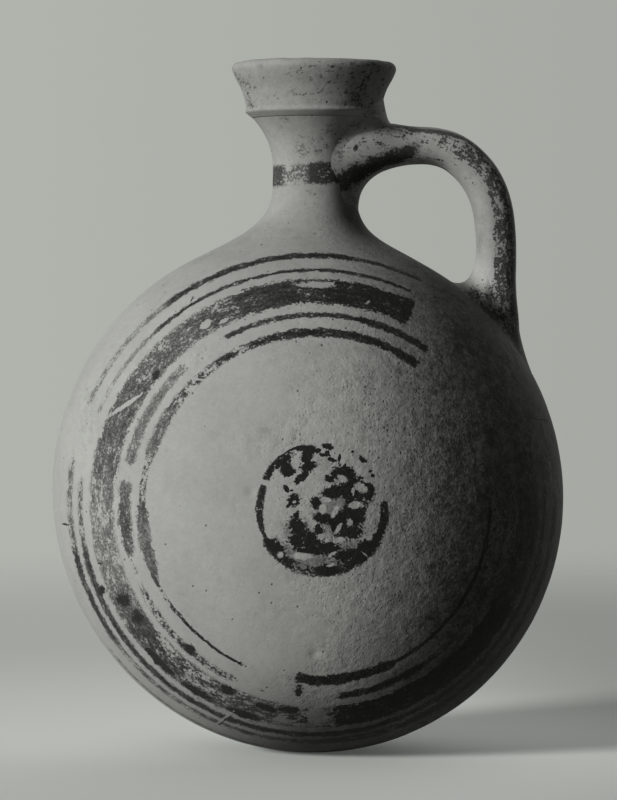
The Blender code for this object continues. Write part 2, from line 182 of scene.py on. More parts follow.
def body_height(x, y, grow=0.0):
    """Height of the body's upper surface over points, with the body grown by a margin."""
    short = BODY_SHORT_RADIUS + grow
    long = BODY_LONG_RADIUS + grow
    depth_share = np.minimum(1.0, np.abs(y) / (BODY_HALF_DEPTH + grow))
    level = (1 - depth_share**BODY_FULLNESS) ** (2 / BODY_FULLNESS)
    square = (SIN_LEAN / short) ** 2 + (COS_LEAN / long) ** 2
    half_cross = x * SIN_LEAN * COS_LEAN * (1 / short**2 - 1 / long**2)
    rest = (x * COS_LEAN / short) ** 2 + (x * SIN_LEAN / long) ** 2 - level
    inside = np.maximum(0.0, half_cross**2 - square * rest)
    return BODY_CENTRE_Z + (np.sqrt(inside) - half_cross) / square


BODY_TOP_Z = float(body_height(NECK_X, 0.0))
SEAT_Z = BODY_TOP_Z + SEAT_HEIGHT
MOUTH_FOOT_Z = BODY_TOP_Z + NECK_LENGTH
WAIST_LOW_Z = BODY_TOP_Z + NECK_WAIST_LOW
WAIST_HIGH_Z = BODY_TOP_Z + NECK_WAIST_HIGH
NECK_BORE = NECK_WAIST_RADIUS - NECK_WALL
NECK_TOP_BORE = NECK_TOP_RADIUS - NECK_WALL
SPIGOT_RADIUS = NECK_TOP_BORE + SPIGOT_WALL


def cast_to_body(direction, grow=0.0):
    """Points where rays from the neck's axis, level with the body's middle, meet the body's surface."""
    near = np.zeros(direction.shape[:-1])
    far = np.full(direction.shape[:-1], 2 * BODY_LONG_RADIUS)
    for _ in range(HALVINGS):
        middle = (near + far) / 2
        x = NECK_X + direction[..., 0] * middle
        y = direction[..., 1] * middle
        z = direction[..., 2] * middle
        across = (x * COS_LEAN + z * SIN_LEAN) / (BODY_SHORT_RADIUS + grow)
        along = (z * COS_LEAN - x * SIN_LEAN) / (BODY_LONG_RADIUS + grow)
        depth = np.abs(y) / (BODY_HALF_DEPTH + grow)
        inside = np.hypot(across, along) ** BODY_FULLNESS + depth**BODY_FULLNESS < 1
        near = np.where(inside, middle, near)
        far = np.where(inside, far, middle)
    return np.array([NECK_X, 0, BODY_CENTRE_Z]) + direction * near[..., None]


def sweep(radius, height, rows, angles):
    """Directions from the body's middle, from a ring about the neck's axis down to the underside."""
    start = np.arctan2(radius, height - BODY_CENTRE_Z)
    turn = start + (math.pi - start) * np.linspace(0, 1, rows)[:, None]
    spread = np.sin(turn)
    return np.stack([spread * np.cos(angles), spread * np.sin(angles), np.cos(turn)], -1)


def unit(vectors):
    return vectors / np.linalg.norm(vectors, axis=-1, keepdims=True)


def circle(angles):
    return np.stack([np.cos(angles), np.sin(angles), 0 * angles], -1)


def ring_points(radius, height, angles):
    """Rings about the neck's axis, for radii and heights of any matching shape."""
    radius, height, angles = np.broadcast_arrays(radius, height, angles)
    return np.stack([NECK_X + radius * np.cos(angles), radius * np.sin(angles), height], -1)


def neck_radius(height):
    """Radius of the neck above its waist."""
    share = np.clip((height - WAIST_HIGH_Z) / (MOUTH_FOOT_Z - WAIST_HIGH_Z), 0, 1)
    return NECK_WAIST_RADIUS + (NECK_TOP_RADIUS - NECK_WAIST_RADIUS) * share**NECK_TOP_FLARE


def flare_points(shares, angles):
    """Curve from the neck's waist to the shoulder, upright where it starts and flush where it ends."""
    towards_handle = (1 + np.cos(angles)) / 2
    drop = FLARE_DROPS[0] + (FLARE_DROPS[1] - FLARE_DROPS[0]) * towards_handle
    pull = FLARE_PULLS[0] + (FLARE_PULLS[1] - FLARE_PULLS[0]) * towards_handle
    reach = FLARE_END + 0 * angles
    end = ring_points(reach, body_height(NECK_X + reach * np.cos(angles), reach * np.sin(angles)), angles)
    step = 0.0005
    further = reach + step
    beyond = body_height(NECK_X + further * np.cos(angles), further * np.sin(angles))
    fall = beyond - end[..., 2]
    length = np.hypot(step, fall)
    first = ring_points(NECK_WAIST_RADIUS, WAIST_LOW_Z, angles)
    second = ring_points(NECK_WAIST_RADIUS, WAIST_LOW_Z - drop, angles)
    third = ring_points(reach - pull * step / length, end[..., 2] - pull * fall / length, angles)
    t = np.asarray(shares).reshape(-1, 1, 1)
    return (1 - t) ** 3 * first + 3 * t * (1 - t) ** 2 * second + 3 * t**2 * (1 - t) * third + t**3 * end


def skin_points(angles):
    """The outer skin from the mouth's foot to the underside, a column of points to each angle."""
    heights = np.linspace(MOUTH_FOOT_Z, WAIST_LOW_Z, NECK_ROWS)
    neck = ring_points(neck_radius(heights)[:, None], heights[:, None], angles[None, :])
    flare = flare_points(np.linspace(0, 1, FLARE_ROWS)[1:], angles)
    body = cast_to_body(sweep(FLARE_END, flare[-1, :, 2], BODY_ROWS, angles)[1:])
    skin = np.concatenate([neck, flare, body])
    skin[..., 2] = np.maximum(skin[..., 2], 0)
    return skin


def lattice(points, seed):
    """Smooth noise from -1 to 1, with bumps one unit apart."""
    cell = np.floor(points).astype(np.int64)
    part = points - cell
    fade = part**3 * (part * (part * 6 - 15) + 10)
    # Large odd numbers mix each corner's place and the seed into a height
    total = np.zeros(points.shape[:-1])
    for corner in range(8):
        step = np.array([corner & 1, corner >> 1 & 1, corner >> 2 & 1])
        at = cell + step
        mixed = at[..., 0] * 73856093 ^ at[..., 1] * 19349663 ^ at[..., 2] * 83492791 ^ seed * 15485863
        mixed = (mixed ^ mixed >> 13) * 1274126177 & 0xFFFFFFFF
        mixed = (mixed ^ mixed >> 16) * 668265263 & 0xFFFFFFFF
        weight = np.prod(np.where(step, fade, 1 - fade), -1)
        total += weight * (mixed / 2**31 - 1)
    return total


# Dents in the body that are wide enough to be shaped, as (x, z, radius, depth) on the painted face
DENTS = (
    (-0.0771, 0.1322, 0.0022, 0.0005),
    (-0.0735, 0.1338, 0.0020, 0.0005),
    (-0.0690, 0.1359, 0.0020, 0.0004),
    (0.0450, 0.0560, 0.0030, 0.0004),
    (0.0310, 0.1480, 0.0024, 0.0004),
    (-0.0260, 0.1040, 0.0016, 0.0005),
    (-0.0020, 0.0436, 0.0018, 0.0005),
    (0.0060, 0.0900, 0.0040, 0.0003),
    (-0.0080, 0.0940, 0.0045, 0.0002),
    (0.0120, 0.1060, 0.0050, 0.0003),
)

# Hand-made unevenness of the clay, as (width of the bumps, height, and how much higher in the worn place),
# and how far it is sunk into the solids' outlines
BUMPS = (
    (0.047, 0.00012, 0.0),
    (0.016, 0.00005, 0.0),
    (0.0055, 0.00003, 0.00005),
    (0.0028, 0.00002, 0.00005),
)
BUMPS_SUNK = 0.0001
WORN_MIDDLE = (0.043, 0.115)
WORN_REACH = (0.028, 0.055)


def unevenness(points):
    """Slow swells, dents and grains, rougher on the right of the painted face."""
    x, y, z = points[..., 0], points[..., 1], points[..., 2]
    across = (x - WORN_MIDDLE[0]) / WORN_REACH[0]
    up = (z - WORN_MIDDLE[1]) / WORN_REACH[1]
    worn = np.exp(-(across**2) - up**2) * (y < 0)
    height = 0 * x
    for seed, (width, rise, worn_rise) in enumerate(BUMPS, 1):
        height += (rise + worn_rise * worn) * lattice(points / width, seed)
    for dent_x, dent_z, radius, depth in DENTS:
        near = np.exp(-((x - dent_x) ** 2 + (z - dent_z) ** 2) / radius**2) * (y < 0)
        height -= depth * near * (z < SEAT_Z)
    return height - BUMPS_SUNK


def grid_normals(points):
    """Outward directions of a grid whose rows run down and whose columns run round."""
    down = np.gradient(points, axis=0)
    along = np.roll(points, -1, 1) - np.roll(points, 1, 1)
    normals = np.cross(down, along)
    length = np.linalg.norm(normals, axis=-1, keepdims=True)
    return np.where(length > 1e-14, normals / np.maximum(length, 1e-14), (0, 0, -1))


def roughened(points):
    return points + grid_normals(points) * unevenness(points)[..., None]


def smooth_line(knots, step):
    """Curve through knots, in points a step apart. Each knot may carry further values."""
    knots = np.array(knots)
    before = np.concatenate([[2 * knots[0] - knots[1]], knots[:-2], [knots[-2]]])[: len(knots) - 1]
    padded = np.concatenate([[2 * knots[0] - knots[1]], knots, [2 * knots[-1] - knots[-2]]])
    dense = []
    for i in range(len(before)):
        p0, p1, p2, p3 = padded[i : i + 4]
        for t in np.linspace(0, 1, CURVE_SAMPLES, endpoint=False):
            bend = 2 * p0 - 5 * p1 + 4 * p2 - p3
            turn = 3 * p1 - p0 - 3 * p2 + p3
            dense.append(p1 + 0.5 * t * (p2 - p0 + t * (bend + t * turn)))
    dense = np.array(dense + [knots[-1]])
    travel = np.concatenate([[0], np.cumsum(np.linalg.norm(np.diff(dense[:, :2], axis=0), axis=1))])
    even = np.linspace(0, travel[-1], max(2, round(travel[-1] / step)))
    return np.stack([np.interp(even, travel, dense[:, k]) for k in range(dense.shape[1])], 1)


class Surface:
    """Points and faces of one piece, with directions lent to the faces whose shading runs on elsewhere."""

    def __init__(self):
        self.points = np.zeros((0, 3))
        self.normals = np.zeros((0, 3))
        self.faces = []
        self.lent = []

    def add(self, points, normals=None):
        """Adds a grid of points and returns their numbers in the same grid."""
        first = len(self.points)
        count = points[..., 0].size
        self.points = np.concatenate([self.points, points.reshape(-1, 3)])
        given = np.zeros((count, 3)) if normals is None else normals.reshape(-1, 3)
        self.normals = np.concatenate([self.normals, given])
        return np.arange(first, first + count).reshape(points.shape[:-1])

    def sheet(self, index, lent=False):
        """Faces over a grid of point numbers."""
        corners = np.stack([index[:-1, :-1], index[1:, :-1], index[1:, 1:], index[:-1, 1:]], -1)
        for face in corners.reshape(-1, 4).tolist():
            kept = list(dict.fromkeys(face))
            if len(kept) > 2:
                self.faces.append(kept)
                self.lent.append(lent)

    def strip(self, outer, inner):
        """Faces between two chains of point numbers that start and end together."""
        marks = np.linspace(0, len(outer) - 1, len(inner)).round().astype(int)
        for i in range(len(inner) - 1):
            self.faces.append([*outer[marks[i] : marks[i + 1] + 1], inner[i + 1], inner[i]])
            self.lent.append(False)

    def build(self, name, material, *nodes):
        """Makes the piece, which rides on the jug's one body and stands for CAD nodes."""
        mesh = bpy.data.meshes.new(name)
        mesh.from_pydata(self.points.tolist(), [], self.faces)
        shell = bmesh.new()
        shell.from_mesh(mesh)
        bmesh.ops.recalc_face_normals(shell, faces=shell.faces)
        shell.to_mesh(mesh)
        shell.free()
        mesh.shade_smooth()
        mesh.set_sharp_from_angle(angle=SHARP_ANGLE)
        if any(self.lent):
            corner_points = np.zeros(len(mesh.loops), int)
            mesh.loops.foreach_get("vertex_index", corner_points)
            sizes = np.zeros(len(mesh.polygons), int)
            mesh.polygons.foreach_get("loop_total", sizes)
            lent = np.repeat(np.array(self.lent), sizes)
            normals = np.where(lent[:, None], self.normals[corner_points], 0)
            mesh.normals_split_custom_set(normals.tolist())
        mesh.materials.append(material)
        piece = linked(name, mesh)
        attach(piece, "root")
        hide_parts(*nodes)
        return piece


def closed_ring(surface, rows, lent_rows=0):
    """Faces of a ring whose rows and columns both join up. The first rows may use lent directions."""
    around = np.concatenate([rows, rows[:, :1]], axis=1)
    if lent_rows:
        surface.sheet(around[:lent_rows], lent=True)
    rest = around[max(0, lent_rows - 1) :]
    surface.sheet(np.concatenate([rest, around[:1]]))


back_angles = np.linspace(0, math.pi, BACK_COLUMNS + 1)[:-1]
front_angles = np.linspace(math.pi, 2 * math.pi, FRONT_COLUMNS + 1)[:-1]
skin_angles = np.concatenate([back_angles, front_angles])
skin = roughened(skin_points(skin_angles))
skin[:, [0, BACK_COLUMNS], 1] = 0
skin[-1] = skin[-1].mean(0)
skin[..., 2] = np.maximum(skin[..., 2], 0)
skin_normals = grid_normals(skin)
skin_normals[-1] = (0, 0, -1)
flare_radii = np.hypot(skin[..., 0] - NECK_X, skin[..., 1]).mean(1)
seat_row = int(np.argmax((skin[..., 2].mean(1) < SEAT_Z)))
foot_row = int(np.argmax((flare_radii > FOOT_RADIUS) & (skin[..., 2].mean(1) < SEAT_Z)))


def half_body(name, columns, material, node):
    """One bowl of the body: the skin, the seam's edge, the wall round the neck's hole and the inside."""
    surface = Surface()
    angles = skin_angles[columns]
    radii = np.array([HOLE_RADIUS, *UNDER_FOOT_RADII[::-1]])[:, None]
    x = NECK_X + radii * np.cos(angles)
    hidden = ring_points(radii, body_height(x, radii * np.sin(angles)), angles)
    hidden[:, [0, -1], 1] = 0
    seen = skin[foot_row:, columns]
    outer = surface.add(
        np.concatenate([hidden, seen]),
        np.concatenate([0 * hidden, skin_normals[foot_row:, columns]]),
    )
    outer[-1] = outer[-1, 0]
    hole_z = body_height(x[0], HOLE_RADIUS * np.sin(angles), -BODY_WALL)
    inside = cast_to_body(sweep(HOLE_RADIUS, hole_z, INNER_ROWS, angles), -BODY_WALL)
    inside[:, [0, -1], 1] = 0
    inner = surface.add(inside)
    inner[-1] = inner[-1, 0]
    surface.sheet(outer[: len(hidden) + 1])
    surface.sheet(outer[len(hidden) :], lent=True)
    surface.sheet(inner[::-1])
    surface.sheet(np.stack([inner[0], outer[0]]))
    for column in (0, -1):
        surface.strip(outer[:, column].tolist(), inner[:, column].tolist())
    used = sorted({i for face in surface.faces for i in face})
    renumber = {old: new for new, old in enumerate(used)}
    surface.points = surface.points[used]
    surface.normals = surface.normals[used]
    surface.faces = [[renumber[i] for i in face] for face in surface.faces]
    return surface.build(name, material, node)


def neck_foot(material):
    """Coil of clay round the neck's foot, feathered out onto the shoulder."""
    surface = Surface()
    seen = surface.add(skin[seat_row : foot_row + 1], skin_normals[seat_row : foot_row + 1])
    radii = np.array([*UNDER_FOOT_RADII, HOLE_RADIUS + FOOT_BED])[:, None]
    x = NECK_X + radii * np.cos(skin_angles)
    under = ring_points(radii, body_height(x, radii * np.sin(skin_angles)) + FOOT_BED, skin_angles)
    top = ring_points(np.array([[HOLE_RADIUS + FOOT_BED]]), skin[seat_row, :, 2].mean(), skin_angles)
    hidden = surface.add(np.concatenate([under, top]))
    closed_ring(surface, np.concatenate([seen, hidden]), len(seen))
    return surface.build("neck_foot", material, "neck_base_coil")


def neck_tube(material):
    """Waisted tube with a spigot for the mouth above and a tenon through the shoulder below."""
    surface = Surface()
    seen = surface.add(skin[: seat_row + 1], skin_normals[: seat_row + 1])
    tenon_z = BODY_TOP_Z - BODY_WALL - TENON_BELOW_SHOULDER
    spigot_z = MOUTH_FOOT_Z + SPIGOT_HEIGHT
    seat_z = skin[seat_row, :, 2].mean()
    profile = [(NECK_WAIST_RADIUS, seat_z), (NECK_WAIST_RADIUS, tenon_z), (NECK_BORE, tenon_z)]
    for share in np.linspace(0, 1, BORE_ROWS):
        profile.append((NECK_BORE, tenon_z + (WAIST_HIGH_Z - tenon_z) * share))
    for share in np.linspace(0, 1, BORE_ROWS)[1:]:
        widening = (NECK_TOP_BORE - NECK_BORE) * share**NECK_TOP_FLARE
        profile.append((NECK_BORE + widening, WAIST_HIGH_Z + (spigot_z - WAIST_HIGH_Z) * share))
    profile += [(SPIGOT_RADIUS, spigot_z), (SPIGOT_RADIUS, MOUTH_FOOT_Z)]
    radii, heights = np.array(profile).T
    hidden = surface.add(ring_points(radii[:, None], heights[:, None], skin_angles))
    closed_ring(surface, np.concatenate([seen, hidden]), len(seen))
    return surface.build("neck_tube", material, "neck")


# Unevenness round the lip, upward and outward, as (height, how close, seed), and how far it is sunk
LIP_RISES = ((0.00022, 1.6, 5), (0.00012, 6, 6))
LIP_RISES_SUNK = 0.0002
LIP_SWAYS = ((0.0003, 1.4, 7), (0.00012, 7, 8))
LIP_SWAYS_SUNK = 0.0001


def waves(turn, table):
    """Sum of the waves in a table, at points on a circle."""
    return sum(height * lattice(turn * close, seed) for height, close, seed in table)


def cup_mouth(material):
    """Flared cup with a ridge at its foot and a rounded, slightly uneven lip."""
    angles = np.linspace(0, 2 * math.pi, MOUTH_COLUMNS, endpoint=False)
    outside = smooth_line(MOUTH_OUTSIDE, MOUTH_STEP)
    inside = smooth_line(MOUTH_INSIDE, MOUTH_STEP * 1.5)
    socket = SPIGOT_RADIUS + FOOT_BED
    hidden = np.array([(socket, 0.0001), (socket, MOUTH_INSIDE[0][1])])
    profile = np.concatenate([outside, hidden, inside])
    points = ring_points(profile[:, :1], MOUTH_FOOT_Z + profile[:, 1:], angles)
    turn = circle(angles)
    share = np.clip(profile[:, 1] / MOUTH_OUTSIDE[0][1], 0, 1)[:, None] ** 2
    points[..., 2] += share * (waves(turn, LIP_RISES) - LIP_RISES_SUNK)
    sway = share * (waves(turn, LIP_SWAYS) - LIP_SWAYS_SUNK)
    points += turn[None] * sway[..., None]
    surface = Surface()
    closed_ring(surface, surface.add(roughened(points)))
    return surface.build("cup_mouth", material, "mouth")


def handle_grid():
    """Rings of points along the strap, their middles, and the turn round the strap of each column."""
    line = smooth_line(HANDLE, HANDLE_STEP)
    slope = unit(np.gradient(line[:, :2], axis=0))
    outward = np.stack([-slope[:, 1], 0 * slope[:, 0], slope[:, 0]], 1)
    turns = np.linspace(0, 2 * math.pi, HANDLE_COLUMNS, endpoint=False)
    power = 2 / HANDLE_SQUARENESS
    thick = np.sign(np.cos(turns)) * np.abs(np.cos(turns)) ** power
    wide = np.sign(np.sin(turns)) * np.abs(np.sin(turns)) ** power
    centre = np.stack([line[:, 0], 0 * line[:, 0], line[:, 1]], 1)
    points = centre[:, None] + line[:, 2, None, None] * thick[:, None] * outward[:, None]
    points += line[:, 3, None, None] * wide[:, None] * np.array([0, 1, 0])
    return points, centre, turns


def at_rows(rows, positions):
    """Points of each column at a row number that may lie between two rows."""
    low = np.clip(np.floor(positions).astype(int), 0, len(rows) - 2)
    part = (positions - low)[..., None]
    columns = np.arange(rows.shape[1])
    return rows[low, columns] * (1 - part) + rows[low + 1, columns] * part


def emergence(outside):
    """Row number at which each column comes out of a surface, from its distance outside it."""
    columns = np.arange(outside.shape[1])
    first = np.maximum(1, np.argmax(outside > 0, axis=0))
    ahead = outside[first, columns]
    return first - ahead / (ahead - outside[first - 1, columns])


def outside_neck(points):
    return np.hypot(points[..., 0] - NECK_X, points[..., 1]) - neck_radius(points[..., 2])


def outside_shoulder(points):
    return points[..., 2] - body_height(points[..., 0], points[..., 1])


strap, strap_centre, strap_turns = handle_grid()
strap_half = len(strap) // 2
upper_strap = strap[:strap_half]
lower_strap = strap[::-1][: len(strap) - strap_half]
upper_exit = emergence(outside_neck(upper_strap))
lower_exit = emergence(outside_shoulder(lower_strap))


def trimmed(rows, exits):
    """The strap's rows, begun for each column just inside the surface that it grows out of."""
    start = exits - STRAP_BURIED / HANDLE_STEP
    last = len(rows) - 1
    share = np.linspace(0, 1, len(rows) - int(start.min()))[:, None]
    return at_rows(rows, start + (last - start) * share)


def strap_handle(material):
    """The strap, with its ends cut to the curves of the neck and the shoulder and buried in them."""
    upper = trimmed(upper_strap, upper_exit)
    lower = trimmed(lower_strap, lower_exit)[::-1]
    points = roughened(np.concatenate([upper, lower]))
    shrink = np.array([0.7, 0.4, 0.0])[:, None, None]
    upper_cap = points[0].mean(0) + (points[0] - points[0].mean(0)) * shrink[::-1]
    lower_cap = points[-1].mean(0) + (points[-1] - points[-1].mean(0)) * shrink
    sunk = np.minimum(0, outside_neck(upper_cap) + STRAP_BURIED)
    radial = (upper_cap - np.array([NECK_X, 0, 0])) * np.array([1, 1, 0])
    upper_cap -= unit(radial) * sunk[..., None]
    surface = Surface()
    rows = surface.add(np.concatenate([upper_cap, points, lower_cap]))
    rows[0] = rows[0, 0]
    rows[-1] = rows[-1, 0]
    surface.sheet(np.concatenate([rows, rows[:, :1]], axis=1))
    return surface.build("strap_handle", material, "handle")


def by_side(values, turns):
    """A size that goes from the handle's outer side over its flanks to its inner side."""
    outer, flank, inner = values
    outward = np.cos(turns)
    further = np.where(outward > 0, outer - flank, inner - flank)
    return flank + further * np.abs(outward) ** SMEAR_TURN_POWER


def smear(name, rows, centres, exits, target, climb, spread, seed, material, node):
    """Fillet of clay from the strap to the surface that it grows out of."""
    lumps = 1
    for i, (height, close) in enumerate(SMEAR_LUMPS):
        lumps = lumps + height * lattice(circle(strap_turns) * close, seed + i)
    climb = by_side(climb, strap_turns) * lumps
    spread = by_side(spread, strap_turns) * lumps
    middles = np.repeat(centres[:, None], len(strap_turns), axis=1)
    corner = at_rows(rows, exits)
    away = unit(corner - at_rows(middles, exits))
    high = exits + climb / HANDLE_STEP
    upper = at_rows(rows, high)
    inward = unit(at_rows(middles, high) - upper)
    upper += SMEAR_BED * inward
    lower = target(corner, away, spread)
    t = np.linspace(0, 1, SMEAR_ROWS)[:, None, None]
    curve = (1 - t) ** 2 * upper + 2 * t * (1 - t) * corner + t**2 * lower
    buried = at_rows(rows, exits - STRAP_BURIED / HANDLE_STEP) - SMEAR_DEPTH * away
    hidden = at_rows(rows, high - 1) + SMEAR_DEPTH * inward
    surface = Surface()
    closed_ring(surface, surface.add(np.concatenate([curve, buried[None], hidden[None]])))
    return surface.build(name, material, node)


def onto_neck(corner, away, spread):
    """Points on the neck or the mouth's foot at a distance from the strap's edge."""
    angle = np.arctan2(corner[:, 1], corner[:, 0] - NECK_X)
    tangent = np.stack([-np.sin(angle), np.cos(angle), 0 * angle], 1)
    sideways = (away * tangent).sum(1)
    upward = away[:, 2]
    length = np.hypot(sideways, upward)
    angle = angle + spread * sideways / length / NECK_WAIST_RADIUS
    height = corner[:, 2] + spread * upward / length
    column = flare_points(np.linspace(0, 1, FLARE_SAMPLES), np.array([0.0]))[:, 0]
    flare_radius = np.interp(-height, -column[:, 2], column[:, 0] - NECK_X)
    radius = np.where(height < WAIST_LOW_Z, flare_radius, neck_radius(height))
    cup_radii, cup_heights = np.array(MOUTH_OUTSIDE[::-1]).T
    cup_radius = np.interp(height - MOUTH_FOOT_Z, cup_heights, cup_radii)
    radius = np.where(height > MOUTH_FOOT_Z, cup_radius, radius)
    return ring_points(radius - SMEAR_BED, height, angle)


def onto_shoulder(corner, away, spread):
    """Points on the body at a distance from the strap's edge."""
    flat = unit(away[:, :2])
    x = corner[:, 0] + spread * flat[:, 0]
    y = corner[:, 1] + spread * flat[:, 1]
    return np.stack([x, y, body_height(x, y) - SMEAR_BED], 1)


def outside_ridge(points):
    """Distance outside the neck, or over the top of the handle outside the ridge at the mouth's foot."""
    rise = np.clip((points[..., 2] - RIDGE_COVER_Z) / RIDGE_COVER_RISE, 0, 1)
    out = UPPER_SMEAR_REACH - neck_radius(points[..., 2])
    return outside_neck(points) - out * rise**2 * (3 - 2 * rise)


def upper_smear(material):
    exits = emergence(outside_ridge(upper_strap))
    args = (upper_strap, strap_centre[:strap_half], exits, onto_neck, UPPER_CLIMB, UPPER_SPREAD, 21)
    return smear("upper_smear", *args, material, "handle_upper_pad")


def lower_smear(material):
    centres = strap_centre[::-1][: len(strap) - strap_half]
    args = (lower_strap, centres, lower_exit, onto_shoulder, LOWER_CLIMB, LOWER_SPREAD, 23)
    return smear("lower_smear", *args, material, "handle_lower_pad")


# Colours of clay and paint
PALE_CLAY = (0.430, 0.436, 0.408)
DARK_CLAY = (0.060, 0.060, 0.055)
CHALK = (0.60, 0.60, 0.57)
PAINT = (0.014, 0.014, 0.013)
# How much the clay darkens on the right flank, partly a stain and partly painted shade, and how high that
# reaches on the body and on the handle
STAIN_AND_SHADE = 0.78
STAIN_AND_SHADE_TOP = 0.245
HANDLE_STAIN_AND_SHADE_TOP = 0.184
CLAY_ROUGHNESS = 0.86
CLAY_SHEEN = 0.12
RELIEF_UNIT = 0.001
PAINT_ROUGHNESS = 0.74
EDGE_SOFT = 0.22

# Roughest clay in front and behind, as its middle and its reach each way
WORN_CLAY = (
    ((0.036, -0.06, 0.100), (0.036, 0.05, 0.072)),
    ((-0.02, 0.07, 0.08), (0.04, 0.04, 0.04)),
)

# The paint is laid out in millimetres, round the middle of the painted face
MM = 1000
FACE_HEIGHT = 97.56
BACK_TURN = math.radians(150)
MARK_REACH = 2.0

# Painted rings: middle radius, how far it sways to one side and to which, and half the width, in
# millimetres, then stops round the face of (degrees, cover, strength, width, shift outward), where the
# width may be left out at 1 and the shift at 0
RING_A = (64.6, 1.0, 165, 1.5)
STOPS_A = (
    (0, 0.55, 0.45, 0.6),
    (14, 0.45, 0.4, 0.6),
    (17, 0.0, 0.3, 0.6),
    (54.5, 0.0, 0.9),
    (55.5, 1.0, 0.95),
    (100, 1.0, 0.95),
    (105, 0.62, 0.9, 1.1),
    (126, 0.56, 0.85),
    (130, 0.5, 0.85, 1.2),
    (144, 0.6, 0.74, 1.3),
    (148, 0.78, 0.66, 1.4),
    (161, 0.76, 0.62, 1.4),
    (165, 0.46, 0.74, 0.9),
    (178, 0.66, 0.8, 0.8),
    (182, 0.95, 0.68, 1.45),
    (200, 0.92, 0.68, 1.3),
    (205, 0.5, 0.8, 0.5, 0.8),
    (216, 0.55, 0.85, 0.5, 0.4),
    (218, 0.9, 0.95, 0.36),
    (243, 0.9, 0.95, 0.36),
    (245, 0.1, 0.7, 0.6),
    (261, 0.1, 0.8),
    (263, 1.0, 1.0, 1.4, -1.0),
    (268, 1.0, 1.0, 1.3),
    (294, 1.0, 0.95, 1.3),
    (297, 0.95, 0.85, 0.5),
    (358, 0.9, 0.8, 0.45),
)
RING_B = (71.3, 0.8, 175, 1.1)
STOPS_B = (
    (0, 0.5, 0.4, 0.9),
    (14, 0.4, 0.35, 0.9),
    (16, 0.0, 0.35, 0.9),
    (54.5, 0.0, 0.9),
    (55.5, 1.0, 0.95, 1.2),
    (77, 1.0, 0.95, 1.2),
    (80, 0.85, 0.9, 0.9),
    (118, 0.8, 0.85, 0.9),
    (120, 0.05, 0.6, 0.9),
    (132, 0.05, 0.5, 1.2),
    (134, 0.68, 0.56, 1.5),
    (166, 0.82, 0.62, 1.7),
    (168, 0.0, 0.4, 1.5),
    (171, 0.0, 0.4, 1.6),
    (173, 0.84, 0.64, 2.0),
    (184, 0.95, 0.8, 2.0),
    (193, 0.9, 0.72, 1.6),
    (196, 0.25, 0.6),
    (204, 0.25, 0.7),
    (207, 0.52, 0.8, 1.3),
    (244, 0.5, 0.85, 1.3),
    (247, 0.1, 0.7),
    (275, 0.1, 0.7),
    (277, 0.97, 0.92, 1.3),
    (302, 0.95, 0.88, 1.3),
    (305, 0.75, 0.7),
    (318, 0.55, 0.5),
    (359, 0.5, 0.4),
)
RING_C = (79.9, 0.5, 150, 4.5)
STOPS_C = (
    (0, 0.75, 0.5),
    (14, 0.6, 0.45),
    (16, 0.0, 0.45),
    (63.5, 0.0, 1.0),
    (64.5, 1.0, 1.0),
    (83, 1.0, 1.0),
    (86, 0.88, 0.95),
    (97, 0.95, 0.9),
    (110, 0.95, 0.86),
    (114, 0.73, 0.8),
    (128, 0.7, 0.66),
    (145, 0.72, 0.72),
    (151, 0.79, 0.72),
    (171, 0.77, 0.69),
    (175, 0.66, 0.6),
    (199, 0.62, 0.55),
    (204, 0.72, 0.66),
    (217, 0.76, 0.8),
    (221, 0.58, 0.8, 1.1, -0.3),
    (261, 0.54, 0.72, 1.1, -0.3),
    (267, 0.4, 0.85),
    (274, 0.45, 0.9),
    (277, 0.97, 0.97),
    (329, 0.95, 0.9),
    (334, 0.85, 0.65),
    (359, 0.78, 0.52),
)
RING_D = (87.6, 0.9, 145, 0.8)
STOPS_D = (
    (0, 0.65, 0.6, 1.1),
    (14, 0.5, 0.5),
    (16, 0.0, 0.5),
    (65, 0.0, 0.9, 0.8),
    (66.5, 0.95, 0.92, 0.8),
    (131, 0.92, 0.9, 0.8),
    (135, 0.72, 0.52, 0.9),
    (156, 0.62, 0.48, 0.9),
    (158, 0.05, 0.35, 0.9),
    (172, 0.05, 0.35, 1.2),
    (174, 0.6, 0.64, 1.2),
    (189, 0.62, 0.68, 1.2),
    (192, 0.95, 0.86, 1.35),
    (289, 0.95, 0.9, 1.35),
    (294, 0.78, 0.75, 1.3),
    (359, 0.65, 0.6, 1.2),
)
RING_E = (92.2, 1.6, 95, 0.9)
STOPS_E = (
    (0, 0.5, 0.55),
    (14, 0.35, 0.45),
    (16, 0.0, 0.45),
    (63, 0.0, 0.8, 0.7),
    (65, 0.8, 0.85, 0.7),
    (79, 0.85, 0.88, 0.8),
    (82, 0.97, 0.95, 1.2),
    (125, 0.88, 0.92, 1.1),
    (129, 0.68, 0.55),
    (156, 0.58, 0.5),
    (158, 0.05, 0.35),
    (168, 0.05, 0.35, 1.3),
    (170, 0.56, 0.6, 1.3),
    (189, 0.6, 0.66, 1.3),
    (192, 0.88, 0.88, 1.2),
    (214, 0.85, 0.85, 1.1),
    (218, 0.66, 0.7),
    (268, 0.66, 0.72, 1.1),
    (273, 0.78, 0.8, 1.6),
    (359, 0.62, 0.7, 1.5),
)
RING_F = (95.6, 0.0, 0, 0.4)
STOPS_F = (
    (0, 0.0, 0.7),
    (213, 0.0, 0.7),
    (218, 0.62, 0.7),
    (257, 0.62, 0.75),
    (262, 0.0, 0.7),
)
DISC_RIM = (22.9, 0.0, 0, 1.4)
